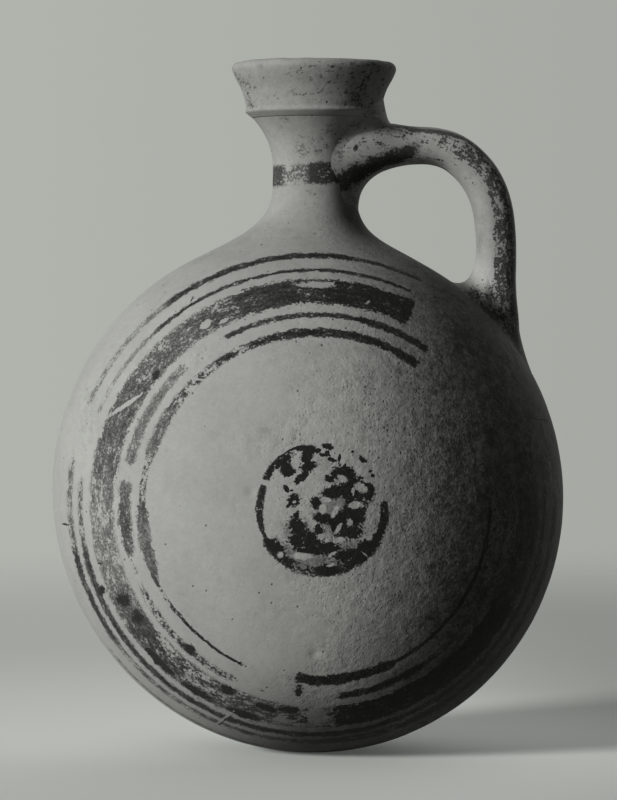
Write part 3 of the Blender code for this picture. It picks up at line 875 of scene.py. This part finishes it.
STOPS_RIM = (
    (0, 0.95, 1.0, 1.1),
    (7, 0.9, 1.0, 0.9, 0.2),
    (9, 0.0, 1.0, 0.9),
    (103, 0.0, 1.0, 0.9, 0.4),
    (106, 0.95, 1.0, 1.0, 0.7),
    (112, 0.95, 1.0, 0.6, 1.4),
    (116, 0.9, 1.0, 0.3, 1.75),
    (136, 0.9, 1.0, 0.35, 1.75),
    (141, 0.9, 1.0, 0.9, 0.9),
    (151, 0.85, 1.0, 0.9, 0.5),
    (153, 0.1, 1.0, 0.8, 0.3),
    (156, 0.1, 1.0, 0.8, 0.3),
    (158, 0.85, 0.95),
    (190, 0.85, 0.95, 0.95),
    (197, 0.85, 0.95, 0.65),
    (206, 0.7, 0.95, 0.5, 0.2),
    (212, 0.82, 0.95, 1.5),
    (235, 0.74, 0.95, 1.6),
    (262, 0.7, 0.95, 1.4),
    (290, 0.72, 0.95, 1.3, 0.2),
    (302, 0.9, 1.0, 1.7, -0.3),
    (333, 0.92, 1.0, 1.6, -0.1),
    (338, 0.97, 1.0, 1.2, 0.2),
    (359, 0.97, 1.0, 1.15),
)

# What is left of the paint in the disc and the holes in it, as ellipses: x and z from the face's middle,
# half length and half width in millimetres, and tilt in degrees
DISC_DARK = (
    (-4.8, 22.8, 2.9, 1.7, -20),
    (-5.4, 19.9, 3.3, 1.7, 85),
    (-5.0, 15.7, 2.9, 1.9, 20),
    (-7.1, 12.2, 3.3, 1.2, 42),
    (-2.1, 21.8, 1.5, 0.8, -5),
    (-14.6, 18.8, 3.9, 2.7, 40),
    (-13.5, 15.7, 2.3, 2.3, 0),
    (-11.9, 13.8, 2.1, 1.3, 20),
    (-10.0, 3.6, 2.1, 2.1, 0),
    (-13.1, 7.8, 1.5, 0.7, -60),
    (-11.2, 7.2, 0.8, 0.4, 20),
    (-12.1, 1.7, 1.2, 0.6, 30),
    (-9.6, -2.4, 1.7, 1.1, 80),
    (-8.5, -7.0, 4.4, 2.9, -50),
    (-3.9, -11.6, 3.5, 2.7, -55),
    (-9.6, -11.6, 2.7, 1.9, -20),
    (-16.9, -13.6, 3.9, 1.7, -35),
    (7.9, 13.0, 4.0, 2.9, -15),
    (2.7, 11.5, 1.9, 1.3, -20),
    (3.9, 6.5, 4.2, 2.7, 20),
    (11.9, 7.6, 5.8, 4.2, -20),
    (16.7, 6.5, 2.5, 2.9, 0),
    (16.6, 9.0, 2.1, 0.9, -10),
    (11.5, -1.6, 6.2, 4.6, 80),
    (6.9, -4.7, 4.2, 4.2, 0),
    (10.4, -8.5, 5.0, 2.3, 10),
    (-1.9, 2.6, 2.3, 1.9, -60),
    (0.8, -3.2, 3.5, 1.7, -10),
    (-1.2, -7.0, 1.7, 1.7, 0),
    (2.7, -13.9, 3.5, 2.1, 0),
    (16.9, -14.7, 4.2, 3.5, 40),
    (10.0, -17.0, 5.4, 2.3, 10),
    (2.3, -22.0, 3.5, 1.7, 0),
    (-5.0, -15.1, 4.6, 0.85, -8),
    (2.3, 23.2, 1.9, 1.2, -20),
    (0.4, 20.2, 1.2, 0.7, 0),
    (2.1, 20.7, 1.3, 1.0, 90),
    (3.8, 18.4, 1.5, 0.7, -20),
    (6.5, 19.0, 1.6, 0.5, 85),
    (7.2, 23.9, 1.2, 0.3, 0),
    (15.3, 18.7, 1.6, 1.0, -45),
    (17.8, 14.2, 0.8, 0.5, 0),
    (18.8, 12.6, 0.8, 0.6, 90),
    (12.2, 22.0, 0.5, 0.45, 0),
    (11.2, 21.1, 0.5, 0.4, 0),
)
DISC_THIN = (
    (8.5, -1.0, 13.5, 10.0, 80),
    (-8.0, -9.0, 7.0, 5.5, -50),
)
DISC_LIGHT = (
    (7.5, 11.3, 1.9, 1.4, -25),
    (14.2, 8.1, 2.5, 1.6, -35),
    (1.5, 3.7, 1.9, 1.0, -10),
    (2.2, 9.0, 1.1, 1.0, 0),
    (12.1, 1.7, 2.9, 1.2, 5),
    (4.8, -0.5, 2.3, 1.0, 62),
    (0.3, 0.5, 1.8, 1.2, 90),
    (6.0, -6.8, 2.4, 0.8, 58),
    (10.2, -4.7, 1.5, 1.1, -70),
    (11.5, 6.9, 1.4, 0.45, 85),
    (17.9, -2.0, 4.0, 1.8, 80),
    (16.2, -5.9, 2.3, 0.85, 85),
    (6.5, -11.0, 2.3, 1.0, 10),
    (17.7, -10.3, 1.2, 0.8, 10),
    (-7.5, -17.0, 3.6, 1.2, -5),
    (-15.2, -16.4, 1.3, 1.0, 60),
    (3.5, -20.3, 1.7, 0.5, 15),
    (3.9, -16.2, 1.7, 0.5, 35),
    (15.8, -16.4, 1.5, 0.3, -40),
    (-10.2, 2.9, 0.8, 0.5, 40),
)

# Dark blots and bare scrapes across the rings: degrees, radius, half length, half width, and tilt from
# the line of the ring
RING_DARK = (
    (141, 77.5, 2.4, 1.2, 20),
    (206, 80.5, 3.0, 2.6, 0),
    (212, 78.8, 3.4, 2.4, 0),
    (225, 83.2, 8.0, 1.6, 0),
    (238, 83.2, 8.0, 1.6, 0),
    (251, 83.2, 8.0, 1.6, 0),
    (228, 71.5, 3.2, 1.6, 0),
    (244, 76.5, 3.4, 1.8, 10),
    (256, 78.0, 5.0, 1.5, -8),
    (262, 77.2, 4.0, 1.6, 0),
    (264, 68.8, 2.2, 1.5, 80),
    (202, 86.5, 1.8, 1.5, 0),
    (195, 83.8, 1.4, 0.3, 75),
    (121, 90.0, 1.3, 0.4, 30),
    (185, 94.5, 1.2, 0.4, 85),
    (247.6, 88.5, 4.4, 0.22, 70),
    (20, 92.0, 4.5, 0.3, 60),
)
RING_LIGHT = (
    (152.5, 81.0, 8.8, 0.75, -27),
    (133.5, 65.8, 3.6, 0.45, -50),
    (137, 65.0, 3.0, 0.5, -20),
    (121.5, 79.6, 2.6, 1.5, 10),
    (117, 77.4, 2.4, 0.8, 0),
    (90, 82.6, 7.0, 1.2, 0),
    (270, 78.5, 4.5, 4.0, 0),
    (247, 88.5, 5.0, 0.42, 70),
    (76, 78.4, 1.1, 0.4, 40),
)

# Painted band round the neck, with stops by degrees round the neck's axis
BAND_HEIGHT = 223.2
BAND_RISE = 0.9
BAND_HALF = 4.2
BAND_STOPS = (
    (0, 0.65, 0.8),
    (90, 0.6, 0.75),
    (176, 0.75, 0.8),
    (215, 0.72, 0.8),
    (225, 0.48, 0.62),
    (255, 0.52, 0.66),
    (262, 0.86, 0.85),
    (318, 0.88, 0.9),
    (359, 0.66, 0.8),
)

# Strokes of paint on the handle's front face, as ellipses in millimetres from the frame's middle
STRAP_MIDDLE = (0.0455, 0.2065)
STRAP_RADIUS = 0.0280
HANDLE_STROKES = (
    (13.0, 220.0, 4.8, 4.2, 38),
    (18.5, 223.2, 6.2, 4.0, 33),
    (25.0, 226.6, 6.2, 3.8, 22),
    (31.5, 229.4, 5.8, 3.4, 20),
    (37.5, 231.6, 5.4, 2.8, 20),
    (17.6, 233.0, 1.6, 1.0, 60),
)


class Wire:
    """A value in a shader, which can be reckoned with."""

    def __init__(self, net, socket):
        self.net = net
        self.socket = socket

    def __add__(self, other):
        return self.net.math("ADD", self, other)

    def __sub__(self, other):
        return self.net.math("SUBTRACT", self, other)

    def __rsub__(self, other):
        return self.net.math("SUBTRACT", other, self)

    def __mul__(self, other):
        return self.net.math("MULTIPLY", self, other)

    def __truediv__(self, other):
        return self.net.math("DIVIDE", self, other)

    def __abs__(self):
        return self.net.math("ABSOLUTE", self)

    __radd__ = __add__
    __rmul__ = __mul__


class Net:
    """Writes a shader's nodes. Inputs are numbers or wires."""

    def __init__(self, tree, coordinates="Object"):
        self.tree = tree
        self.tree.nodes.clear()
        self.place = self.wire("ShaderNodeTexCoord", output=coordinates)

    def node(self, kind, inputs=(), **settings):
        """A node, whose inputs are given in order or by name."""
        node = self.tree.nodes.new(kind)
        for key, value in settings.items():
            setattr(node, key, value)
        for key, value in inputs.items() if isinstance(inputs, dict) else enumerate(inputs):
            if isinstance(value, Wire):
                self.tree.links.new(value.socket, node.inputs[key])
            else:
                node.inputs[key].default_value = value
        return node

    def wire(self, kind, inputs=(), output=0, **settings):
        """One output of a new node."""
        return Wire(self, self.node(kind, inputs, **settings).outputs[output])

    def wires(self, kind, *inputs):
        """All outputs of a new node."""
        return [Wire(self, output) for output in self.node(kind, inputs).outputs]

    def math(self, operation, *values):
        return self.wire("ShaderNodeMath", values, operation=operation)

    def most(self, value, *others):
        """The greatest of some values."""
        for other in others:
            value = self.math("MAXIMUM", value, other)
        return value

    def ease(self, value, low, high):
        """Goes from 0 at low to 1 at high, where low may be the greater."""
        line = (value, 1 / (high - low), -low / (high - low))
        return self.wire("ShaderNodeMath", line, operation="MULTIPLY_ADD", use_clamp=True)

    def smooth(self, value, low, high):
        """As ease, with soft ends."""
        share = self.ease(value, low, high)
        return share * share * (3.0 - share * 2.0)

    def within(self, value, low, high, soft):
        """1 between two bounds, with soft ends."""
        return self.ease(value, low - soft, low + soft) * self.ease(value, high + soft, high - soft)

    def split(self, vector):
        return self.wires("ShaderNodeSeparateXYZ", vector)

    def channels(self, colour):
        return self.wires("ShaderNodeSeparateColor", colour)

    def join(self, x, y, z):
        return self.wire("ShaderNodeCombineXYZ", (x, y, z))

    def vector(self, operation, *values):
        output = "Value" if operation in ("LENGTH", "DOT_PRODUCT") else "Vector"
        return self.wire("ShaderNodeVectorMath", values, output, operation=operation)

    def moved(self, vector, location, rotation=(0, 0, 0), scale=(1, 1, 1)):
        """A vector as seen from a frame with its own place, turn and unit."""
        return self.wire("ShaderNodeMapping", (vector, location, rotation, scale), vector_type="TEXTURE")

    def noise(self, size, detail=2, at=None, roughness=0.5):
        """Noise round 0 with bumps of a size, mostly from -0.2 to 0.2."""
        look = {"Scale": 1 / size, "Detail": detail, "Roughness": roughness}
        return self.wire("ShaderNodeTexNoise", {"Vector": at or self.place, **look}, "Fac") - 0.5

    def warped(self, vector, size, amount):
        """A vector shaken by noise."""
        look = {"Vector": self.place, "Scale": 1 / size, "Detail": 3}
        across, _, up = self.channels(self.wire("ShaderNodeTexNoise", look, "Color"))
        shake = self.join((across - 0.5) * amount, 0.0, (up - 0.5) * amount)
        return self.vector("ADD", vector, shake)

    def dots(self, size, radius, share):
        """Round dots of a radius in some of the cells of a size."""
        cells = self.node("ShaderNodeTexVoronoi", {"Vector": self.place, "Scale": 1 / size})
        chance = self.channels(Wire(self, cells.outputs["Color"]))[0]
        dot = self.ease(Wire(self, cells.outputs["Distance"]), radius / size, 0.5 * radius / size)
        return dot * self.math("LESS_THAN", chance, share)

    def blend(self, share, first, second):
        """Mix of two colours."""
        first, second = [end if isinstance(end, Wire) else (*end, 1) for end in (first, second)]
        inputs = {"Factor": share, "A": first, "B": second}
        return self.wire("ShaderNodeMix", inputs, "Result", data_type="RGBA")

    def stops(self, turn, table):
        """Cover, strength, width and shift at a turn, from stops in degrees."""
        node = self.node("ShaderNodeValToRGB", [turn])
        elements = node.color_ramp.elements
        elements.remove(elements[1])
        for i, (degrees, cover, strength, *given) in enumerate(table):
            width, shift = given + [1.0, 0.0][len(given) :]
            element = elements[0] if i == 0 else elements.new(degrees / 360)
            element.position = degrees / 360
            element.color = (cover, strength, width / 2, 0.5 + shift / 4)
        cover, strength, width = self.channels(Wire(self, node.outputs["Color"]))
        shift = Wire(self, node.outputs["Alpha"])
        return cover, strength, width * 2, shift * 4 - 2

    def nearest(self, at, marks):
        """How far out a point is in the nearest ellipse: 1 at its edge, and never over MARK_REACH."""
        inside = 0.0
        for x, z, half_length, half_width, tilt in marks:
            size = (half_length * MARK_REACH, 1, half_width * MARK_REACH)
            local = self.moved(at, (x, 0, z), (0, -math.radians(tilt), 0), size)
            ball = self.wire("ShaderNodeTexGradient", [local], "Fac", gradient_type="SPHERICAL")
            inside = self.most(inside, ball)
        return (1 - inside) * MARK_REACH

    def either(self, share, first, second):
        """Mix of two shaders."""
        return self.wire("ShaderNodeMixShader", (share, first, second))

    def seen_directly(self):
        """1 for rays that show a thing itself, and 0 for the light that it throws on others."""
        rays = self.node("ShaderNodeLightPath").outputs
        kinds = ("Is Camera Ray", "Is Glossy Ray", "Is Transmission Ray")
        return self.most(*[Wire(self, rays[kind]) for kind in kinds])

    def finish(self, surface, output="ShaderNodeOutputMaterial"):
        """Ends the shader in its output."""
        self.node(output, {"Surface": surface})


def new_material(name):
    """A material and the net that writes its nodes."""
    material = bpy.data.materials.new(name)
    material.use_nodes = True
    return material, Net(material.node_tree)


def from_polar(marks):
    """Ellipses given round the face, as ellipses given across it."""
    placed = []
    for degrees, radius, half_length, half_width, tilt in marks:
        x = radius * math.cos(math.radians(degrees))
        z = radius * math.sin(math.radians(degrees))
        placed.append((x, z, half_length, half_width, degrees + 90 + tilt))
    return placed


def turn_share(net, across, up):
    """Turn round a middle as a share of the circle, from 0 on the right."""
    return net.math("FRACT", net.math("ARCTAN2", up, across) / (2 * math.pi))


def worn_place(net):
    """How rough the clay is: most on the right of the front face, and here and there elsewhere."""
    away = [net.vector("LENGTH", net.moved(net.place, middle, scale=reach)) for middle, reach in WORN_CLAY]
    near = net.ease(net.math("MINIMUM", *away) + net.noise(0.012, 3) * 1.8, 1.75, 0.45)
    return near + net.ease(net.noise(0.03, 3), 0.06, 0.2) * 0.35


def bare_clay(net, stain_and_shade_top):
    """Colour of the clay, with a stain and painted shade on the right flank, darker low down, painted shade
    in the crevice at the handle's root, and the height of its grain in millimetres.
    """
    x, y, z = net.split(net.place)
    worn = worn_place(net)
    grain = net.noise(0.0011, 3, roughness=0.75)
    soft = net.noise(0.0036, 4, roughness=0.65)
    cloud = net.noise(0.028, 4)
    smudge = net.ease(net.noise(0.010, 5, roughness=0.62), 0.05, 0.24)
    drift = cloud * 0.03
    # Darker on the right flank: partly a stain and partly painted shade
    stain_and_shade = net.ease(x + drift, 0.006, 0.050) * net.ease(z + drift, stain_and_shade_top, stain_and_shade_top - 0.030)
    # Darker low on the body, towards the floor
    low = net.ease(x + drift, -0.050, -0.005) * net.ease(z + cloud * 0.02, 0.042, 0.010) * 0.8
    # Painted shade in the crevice between the neck and the handle's root
    crevice_shade = net.ease(x - net.ease(z, 0.212, 0.246) * 0.013, 0.005, 0.019) * net.ease(z, 0.180, 0.205)
    crevice_shade = crevice_shade * net.ease(z, stain_and_shade_top + 0.050, stain_and_shade_top - 0.005) * 0.8
    stain_and_shade = net.most(stain_and_shade, low, crevice_shade) * net.ease(y + drift, 0.045, -0.005)
    neck = net.ease(z, 0.172, 0.205) * net.ease(x, 0.048, 0.030)
    pits = net.dots(0.0048, 0.00052, 0.38)
    fine_pits = net.dots(0.0016, 0.00042, 0.60) * worn
    chalk = net.dots(0.0030, 0.00036, 0.22) * (worn * 0.8 + 0.10)
    hollow = net.most(pits, fine_pits)
    tone = 0.92 + cloud * 0.34 + soft * (worn * 0.8 + 0.26) - smudge * (worn * 0.22 + 0.08)
    tone = tone + grain * (worn * 0.8 + 0.30) - hollow * 0.60 - worn * 0.04
    tone = tone - stain_and_shade * STAIN_AND_SHADE - neck * 0.21
    colour = net.blend(tone, DARK_CLAY, PALE_CLAY)
    colour = net.blend(chalk, colour, CHALK)
    height = grain * (worn * 0.20 + 0.06) + soft * (worn * 0.70 + 0.10) - hollow * 0.20 + chalk * 0.15
    return colour, height


def wear(net, along):
    """Noise that the paint has flaked by: fine grains, streaks along the stroke and larger patches."""
    grain = net.noise(0.0010, 3, roughness=0.65)
    streak = net.noise(1.0, 2, at=along)
    patch = net.noise(0.0065, 2)
    return grain * 1.7 + streak * 1.2 + patch * 1.1


def ring_paint(net, ring, table, turn, radius, flaking):
    """Strength of the paint in one ring."""
    middle, sway, sway_degrees, half = ring
    cover, strength, width, shift = net.stops(turn, table)
    swayed = net.math("COSINE", turn * (2 * math.pi) - math.radians(sway_degrees)) * sway
    away = abs(radius - (swayed + shift + middle)) / (width * half)
    edge = net.ease(away + flaking * (1.1 / half**0.5), 1.02 + EDGE_SOFT / half, 1.02 - EDGE_SOFT / half)
    return edge * net.ease(cover + flaking, 0.30, 0.62) * (strength + flaking * 0.3)


def face_paint(net):
    """Strength of the paint on the two faces of the body."""
    x, y, z = net.split(net.vector("MULTIPLY", net.place, (MM, MM, MM)))
    back = net.math("GREATER_THAN", y, 0.0)
    mirrored = net.join(x * (1 - back * 2), 0.0, z - FACE_HEIGHT)
    turning = {"Vector": mirrored, "Angle": back * BACK_TURN}
    turned = net.wire("ShaderNodeVectorRotate", turning, rotation_type="Y_AXIS")
    face = net.warped(turned, 0.0022, 1.1)
    across, _, up = net.split(face)
    radius = net.vector("LENGTH", face)
    turn = turn_share(net, across, up)
    along = net.join(radius * 0.9, turn * 130, back * 7)
    flaking = wear(net, along)
    rings = 0.0
    for ring, table in (
        (RING_A, STOPS_A),
        (RING_B, STOPS_B),
        (RING_C, STOPS_C),
        (RING_D, STOPS_D),
        (RING_E, STOPS_E),
        (RING_F, STOPS_F),
        (DISC_RIM, STOPS_RIM),
    ):
        rings = net.most(rings, ring_paint(net, ring, table, turn, radius, flaking))
    blots = net.ease(net.nearest(face, from_polar(RING_DARK)) + flaking * 1.1, 1.20, 0.76) * 0.95
    low = net.ease(up, -5.0, -14.0)
    disc_wear = flaking * (low * 0.7 + 0.9)
    disc = net.ease(net.nearest(face, DISC_DARK) + disc_wear, 1.28, 1.04)
    smudged = net.ease(up + flaking * 9.0, -9.0, -14.0) * 0.56
    thin = net.ease(net.nearest(face, DISC_THIN) + flaking * 0.8, 1.15, 0.80) * 0.52
    disc = net.most(disc, smudged, thin) * net.ease(radius + flaking * 0.8, 24.7, 24.1)
    paint = net.most(rings, blots, disc)
    holes = net.math("MINIMUM", net.nearest(face, DISC_LIGHT), net.nearest(face, from_polar(RING_LIGHT)))
    return paint * net.ease(holes + flaking * 0.7, 0.84, 1.14) * net.ease(abs(y), 3.0, 9.0)


def neck_paint(net):
    """Strength of the paint and the stains on the neck and the mouth, with painted shade on the cup's right
    side.
    """
    x, y, z = net.split(net.vector("MULTIPLY", net.place, (MM, MM, MM)))
    turn = turn_share(net, x - NECK_X * MM, y)
    flaking = wear(net, net.join(z * 0.9, turn * 40, 0.0))
    cover, strength, _, _ = net.stops(turn, BAND_STOPS)
    height = z + net.math("COSINE", turn * (2 * math.pi)) * -BAND_RISE
    away = abs(height - BAND_HEIGHT) / BAND_HALF
    band = net.ease(away + flaking * 0.5, 1.14, 0.88) * net.ease(cover + flaking, 0.36, 0.62) * strength
    slanted = net.moved(net.place, (0, 0, 0), (0, -math.radians(28), 0), (0.0019, 0.0019, 0.0010))
    strokes = net.noise(1.0, 3, at=slanted, roughness=0.6)
    # Painted shade: more grime and mottle towards the cup's right side
    right = net.ease(turn, 0.64, 0.82) * net.ease(turn, 1.01, 0.90)
    on_cup = net.within(z, 247.5, 265.3, 1.2)
    smear = net.noise(0.006, 4, roughness=0.65)
    mottle_and_shade = net.ease(net.noise(0.0045, 5, roughness=0.7) + right * 0.16, -0.02, 0.18)
    mottle_and_shade = mottle_and_shade * net.ease(net.noise(0.0010, 3, roughness=0.75), -0.16, 0.14) * on_cup * 0.38
    grime_and_shade = net.ease(strokes * 1.8 + smear * 1.7 + right * 0.30, 0.26, 0.64) * on_cup
    left = net.within(turn, 0.50, 0.60, 0.03) * net.within(z, 248.0, 262.0, 1.5)
    specks = net.ease(strokes * 1.4 + smear * 1.6 + left * 0.34, 0.24, 0.56) * on_cup
    under = net.within(z, 229.0, 243.0, 3.0) * net.within(turn, 0.66, 0.84, 0.04)
    foot = net.within(z, 200.0, 214.0, 3.0) * net.within(turn, 0.745, 0.80, 0.02)
    flecks = net.ease(smear * 1.5 + flaking * 0.7 + (under + foot) * 0.26, 0.28, 0.60)
    return net.most(band, grime_and_shade * 0.85, specks * 0.7, flecks * 0.6, mottle_and_shade)


def handle_paint(net):
    """Strength of the paint on the strap: worn lines along its edges, a worn front face, and paint low on
    the strap made thicker as painted shade.
    """
    x, y, z = net.split(net.place)
    past_x = net.most(x - STRAP_MIDDLE[0], 0.0)
    past_z = net.most(z - STRAP_MIDDLE[1], 0.0)
    outward = (net.vector("LENGTH", net.join(past_x, 0.0, past_z)) - STRAP_RADIUS) * MM
    flaking = wear(net, net.join(outward * 0.8, z * 350, x * 350))
    front = net.ease(abs(y), 0.006, 0.0085)
    down = net.ease(x, 0.046, 0.058)
    face_cover = net.within(outward, -2.6, 4.8, 0.9) * (down * 0.28 + 0.32)
    outer_cover = net.within(outward, 4.2, 7.6, 0.8) * net.ease(x, 0.030, 0.040) * 0.85
    inner_cover = net.within(outward, -5.6, -4.7, 0.3) * net.ease(x, 0.036, 0.042) * 0.60
    inner_cover = inner_cover * net.ease(z, 0.222, 0.230)
    # Painted shade: the paint low on the strap is made thicker where it lies in shade
    root_paint_and_shade = net.within(z, 0.160, 0.182, 0.005) * 0.60
    cover = net.most(face_cover, outer_cover, inner_cover, root_paint_and_shade)
    edges = net.ease(cover + flaking, 0.42, 0.62) * front
    on_face = net.vector("MULTIPLY", net.place, (MM, 0, MM))
    strokes = net.ease(net.nearest(on_face, HANDLE_STROKES) + flaking * 0.9, 1.16, 0.72) * front
    clean = net.within(outward, -9.0, -2.6, 0.6) * down
    top = net.ease(z, 0.206, 0.226)
    specks = net.ease(flaking * 1.2 + net.noise(0.006, 3) * 1.3 + top * 0.12 - clean * 0.3, 0.12, 0.50)
    return net.most(edges * 0.80, strokes * 0.90, specks * 0.55)


def clay_material(name, paint=None, stain_and_shade_top=STAIN_AND_SHADE_TOP):
    """Matt clay with a grain, pits, chalky specks and painted shade, under what is left of its paint."""
    material, net = new_material(name)
    colour, height = bare_clay(net, stain_and_shade_top)
    roughness = CLAY_ROUGHNESS
    if paint is not None:
        thick = paint(net)
        grains = net.ease(thick + net.noise(0.0008, 3, roughness=0.8) * 1.9, 0.26, 0.80)
        strength = thick * 0.55 + grains * 0.45
        colour = net.blend(strength, colour, PAINT)
        roughness = CLAY_ROUGHNESS - strength * (CLAY_ROUGHNESS - PAINT_ROUGHNESS)
    relief = net.wire("ShaderNodeBump", {"Distance": RELIEF_UNIT, "Height": height})
    look = {"Base Color": colour, "Roughness": roughness, "Normal": relief}
    net.finish(net.wire("ShaderNodeBsdfPrincipled", look | {"Specular IOR Level": CLAY_SHEEN}))
    return material


body_clay = clay_material("body_clay", face_paint)
neck_clay = clay_material("neck_clay", neck_paint)
handle_clay = clay_material("handle_clay", handle_paint, HANDLE_STAIN_AND_SHADE_TOP)
front_columns = np.r_[BACK_COLUMNS : BACK_COLUMNS + FRONT_COLUMNS, 0]
half_body("body_front", front_columns, body_clay, "body_front_half")
half_body("body_back", np.arange(BACK_COLUMNS + 1), body_clay, "body_back_half")
neck_foot(neck_clay)
neck_tube(neck_clay)
cup_mouth(neck_clay)
strap_handle(handle_clay)
upper_smear(handle_clay)
lower_smear(handle_clay)
raw_clay = clay_material("raw_clay")
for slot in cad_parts["body_seam_coil"].material_slots:
    slot.material = raw_clay


# Camera, which looks a little down and from a little to the left of the painted face
CAMERA_TURN = math.radians(-3.4)
CAMERA_RISE = math.radians(1.36)
CAMERA_DISTANCE = 1.487
CAMERA_TARGET = Vector((0.0003, 0.0, 0.1357))
CAMERA_LENS = 172.1
camera = linked("camera", bpy.data.cameras.new("camera"))
camera.data.lens = CAMERA_LENS
camera.data.sensor_width = 36.0
camera.data.clip_start = 0.05
camera.data.clip_end = 20.0
back = way_to(CAMERA_TURN, CAMERA_RISE)
camera.location = CAMERA_TARGET + back * CAMERA_DISTANCE
camera.rotation_euler = (-back).to_track_quat("-Z", "Y").to_euler()
bpy.context.scene.camera = camera

# Light from the left
KEY_TURN = math.radians(-59)
KEY_RISE = math.radians(16)
KEY_STRENGTH = 3.3
KEY_WIDTH = math.radians(14)
key = linked("key", bpy.data.lights.new("key", "SUN"))
key.data.energy = KEY_STRENGTH
key.data.angle = KEY_WIDTH
key.rotation_euler = way_to(KEY_TURN, KEY_RISE).to_track_quat("Z", "Y").to_euler()

# Backdrop, painted darker to the right as shade, a weak even fill, and a soft glow from behind on the right
# that the painted face doesn't get
BACKDROP_LEFT = (0.440, 0.453, 0.419)
BACKDROP_RIGHT = (0.386, 0.394, 0.367)
BACKDROP_SPAN = (-0.02, 0.13)
FILL = 0.03
GLOW = 1.25
GLOW_FROM = Vector((0.38, 0.87, 0.32)).normalized()
GLOW_NARROWNESS = 3.0
world = bpy.data.worlds.new("studio")
bpy.context.scene.world = world
world.use_nodes = True
net = Net(world.node_tree, "Generated")
across, _, _ = net.split(net.place)
facing = net.most(net.vector("DOT_PRODUCT", net.place, GLOW_FROM), 0.0)
glow = net.math("POWER", facing, GLOW_NARROWNESS) * GLOW + FILL
fill = net.wire("ShaderNodeBackground", {"Strength": glow})
backdrop = net.blend(net.ease(across, *BACKDROP_SPAN), BACKDROP_LEFT, BACKDROP_RIGHT)
seen = net.wire("ShaderNodeBackground", {"Color": backdrop})
net.finish(net.either(net.seen_directly(), fill, seen), "ShaderNodeOutputWorld")

# Round floor, paler than the light that it throws on the jug. Its colour darkens away from the jug as
# painted shade, and to the right as a painted shadow of the jug, and it fades into the backdrop
FLOOR_RADIUS = 3.0
FLOOR_DROP = 0.0002
FLOOR = (0.80, 0.82, 0.78)
FLOOR_FAR_SHADE = (0.56, 0.57, 0.54)
FLOOR_FAR_SHADE_SPAN = (0.06, 0.50)
FLOOR_SHADOW = (0.33, 0.34, 0.32)
FLOOR_SHADOW_SPAN = (0.0, 0.20)
FLOOR_SHADOW_AWAY = (0.05, 0.28)
FLOOR_FADE_SPAN = (0.60, 1.3)
FLOOR_LIFT = (0.060, 0.063, 0.058)
FLOOR_THROWN = (0.20, 0.20, 0.19)
FLOOR_ROUGHNESS = 0.9
bpy.ops.mesh.primitive_circle_add(
    vertices=96, radius=FLOOR_RADIUS, fill_type="NGON", location=(0, 0, -FLOOR_DROP)
)
floor = bpy.context.object
floor.name = "floor"
floor_material, net = new_material("floor")
away = net.vector("LENGTH", net.place)
across, _, _ = net.split(net.place)
# Painted shade: the floor darkens away from the jug
colour = net.blend(net.smooth(away, *FLOOR_FAR_SHADE_SPAN), FLOOR, FLOOR_FAR_SHADE)
# Painted shadow of the jug on the floor to the right
side = net.smooth(across, *FLOOR_SHADOW_SPAN) * net.smooth(away, *FLOOR_SHADOW_AWAY)
colour = net.blend(side, colour, FLOOR_SHADOW)
look = {"Base Color": colour, "Roughness": FLOOR_ROUGHNESS}
lift = {"Emission Color": (*FLOOR_LIFT, 1), "Emission Strength": 1.0}
shown = net.wire("ShaderNodeBsdfPrincipled", look | lift)
thrown = net.wire("ShaderNodeBsdfDiffuse", {"Color": (*FLOOR_THROWN, 1)})
clear = net.wire("ShaderNodeBsdfTransparent")
underside = net.wire("ShaderNodeNewGeometry", output="Backfacing")
faded = net.most(net.smooth(away, *FLOOR_FADE_SPAN), underside)
net.finish(net.either(faded, net.either(net.seen_directly(), thrown, shown), clear))
floor.data.materials.append(floor_material)

bpy.context.scene.view_settings.view_transform = "Standard"
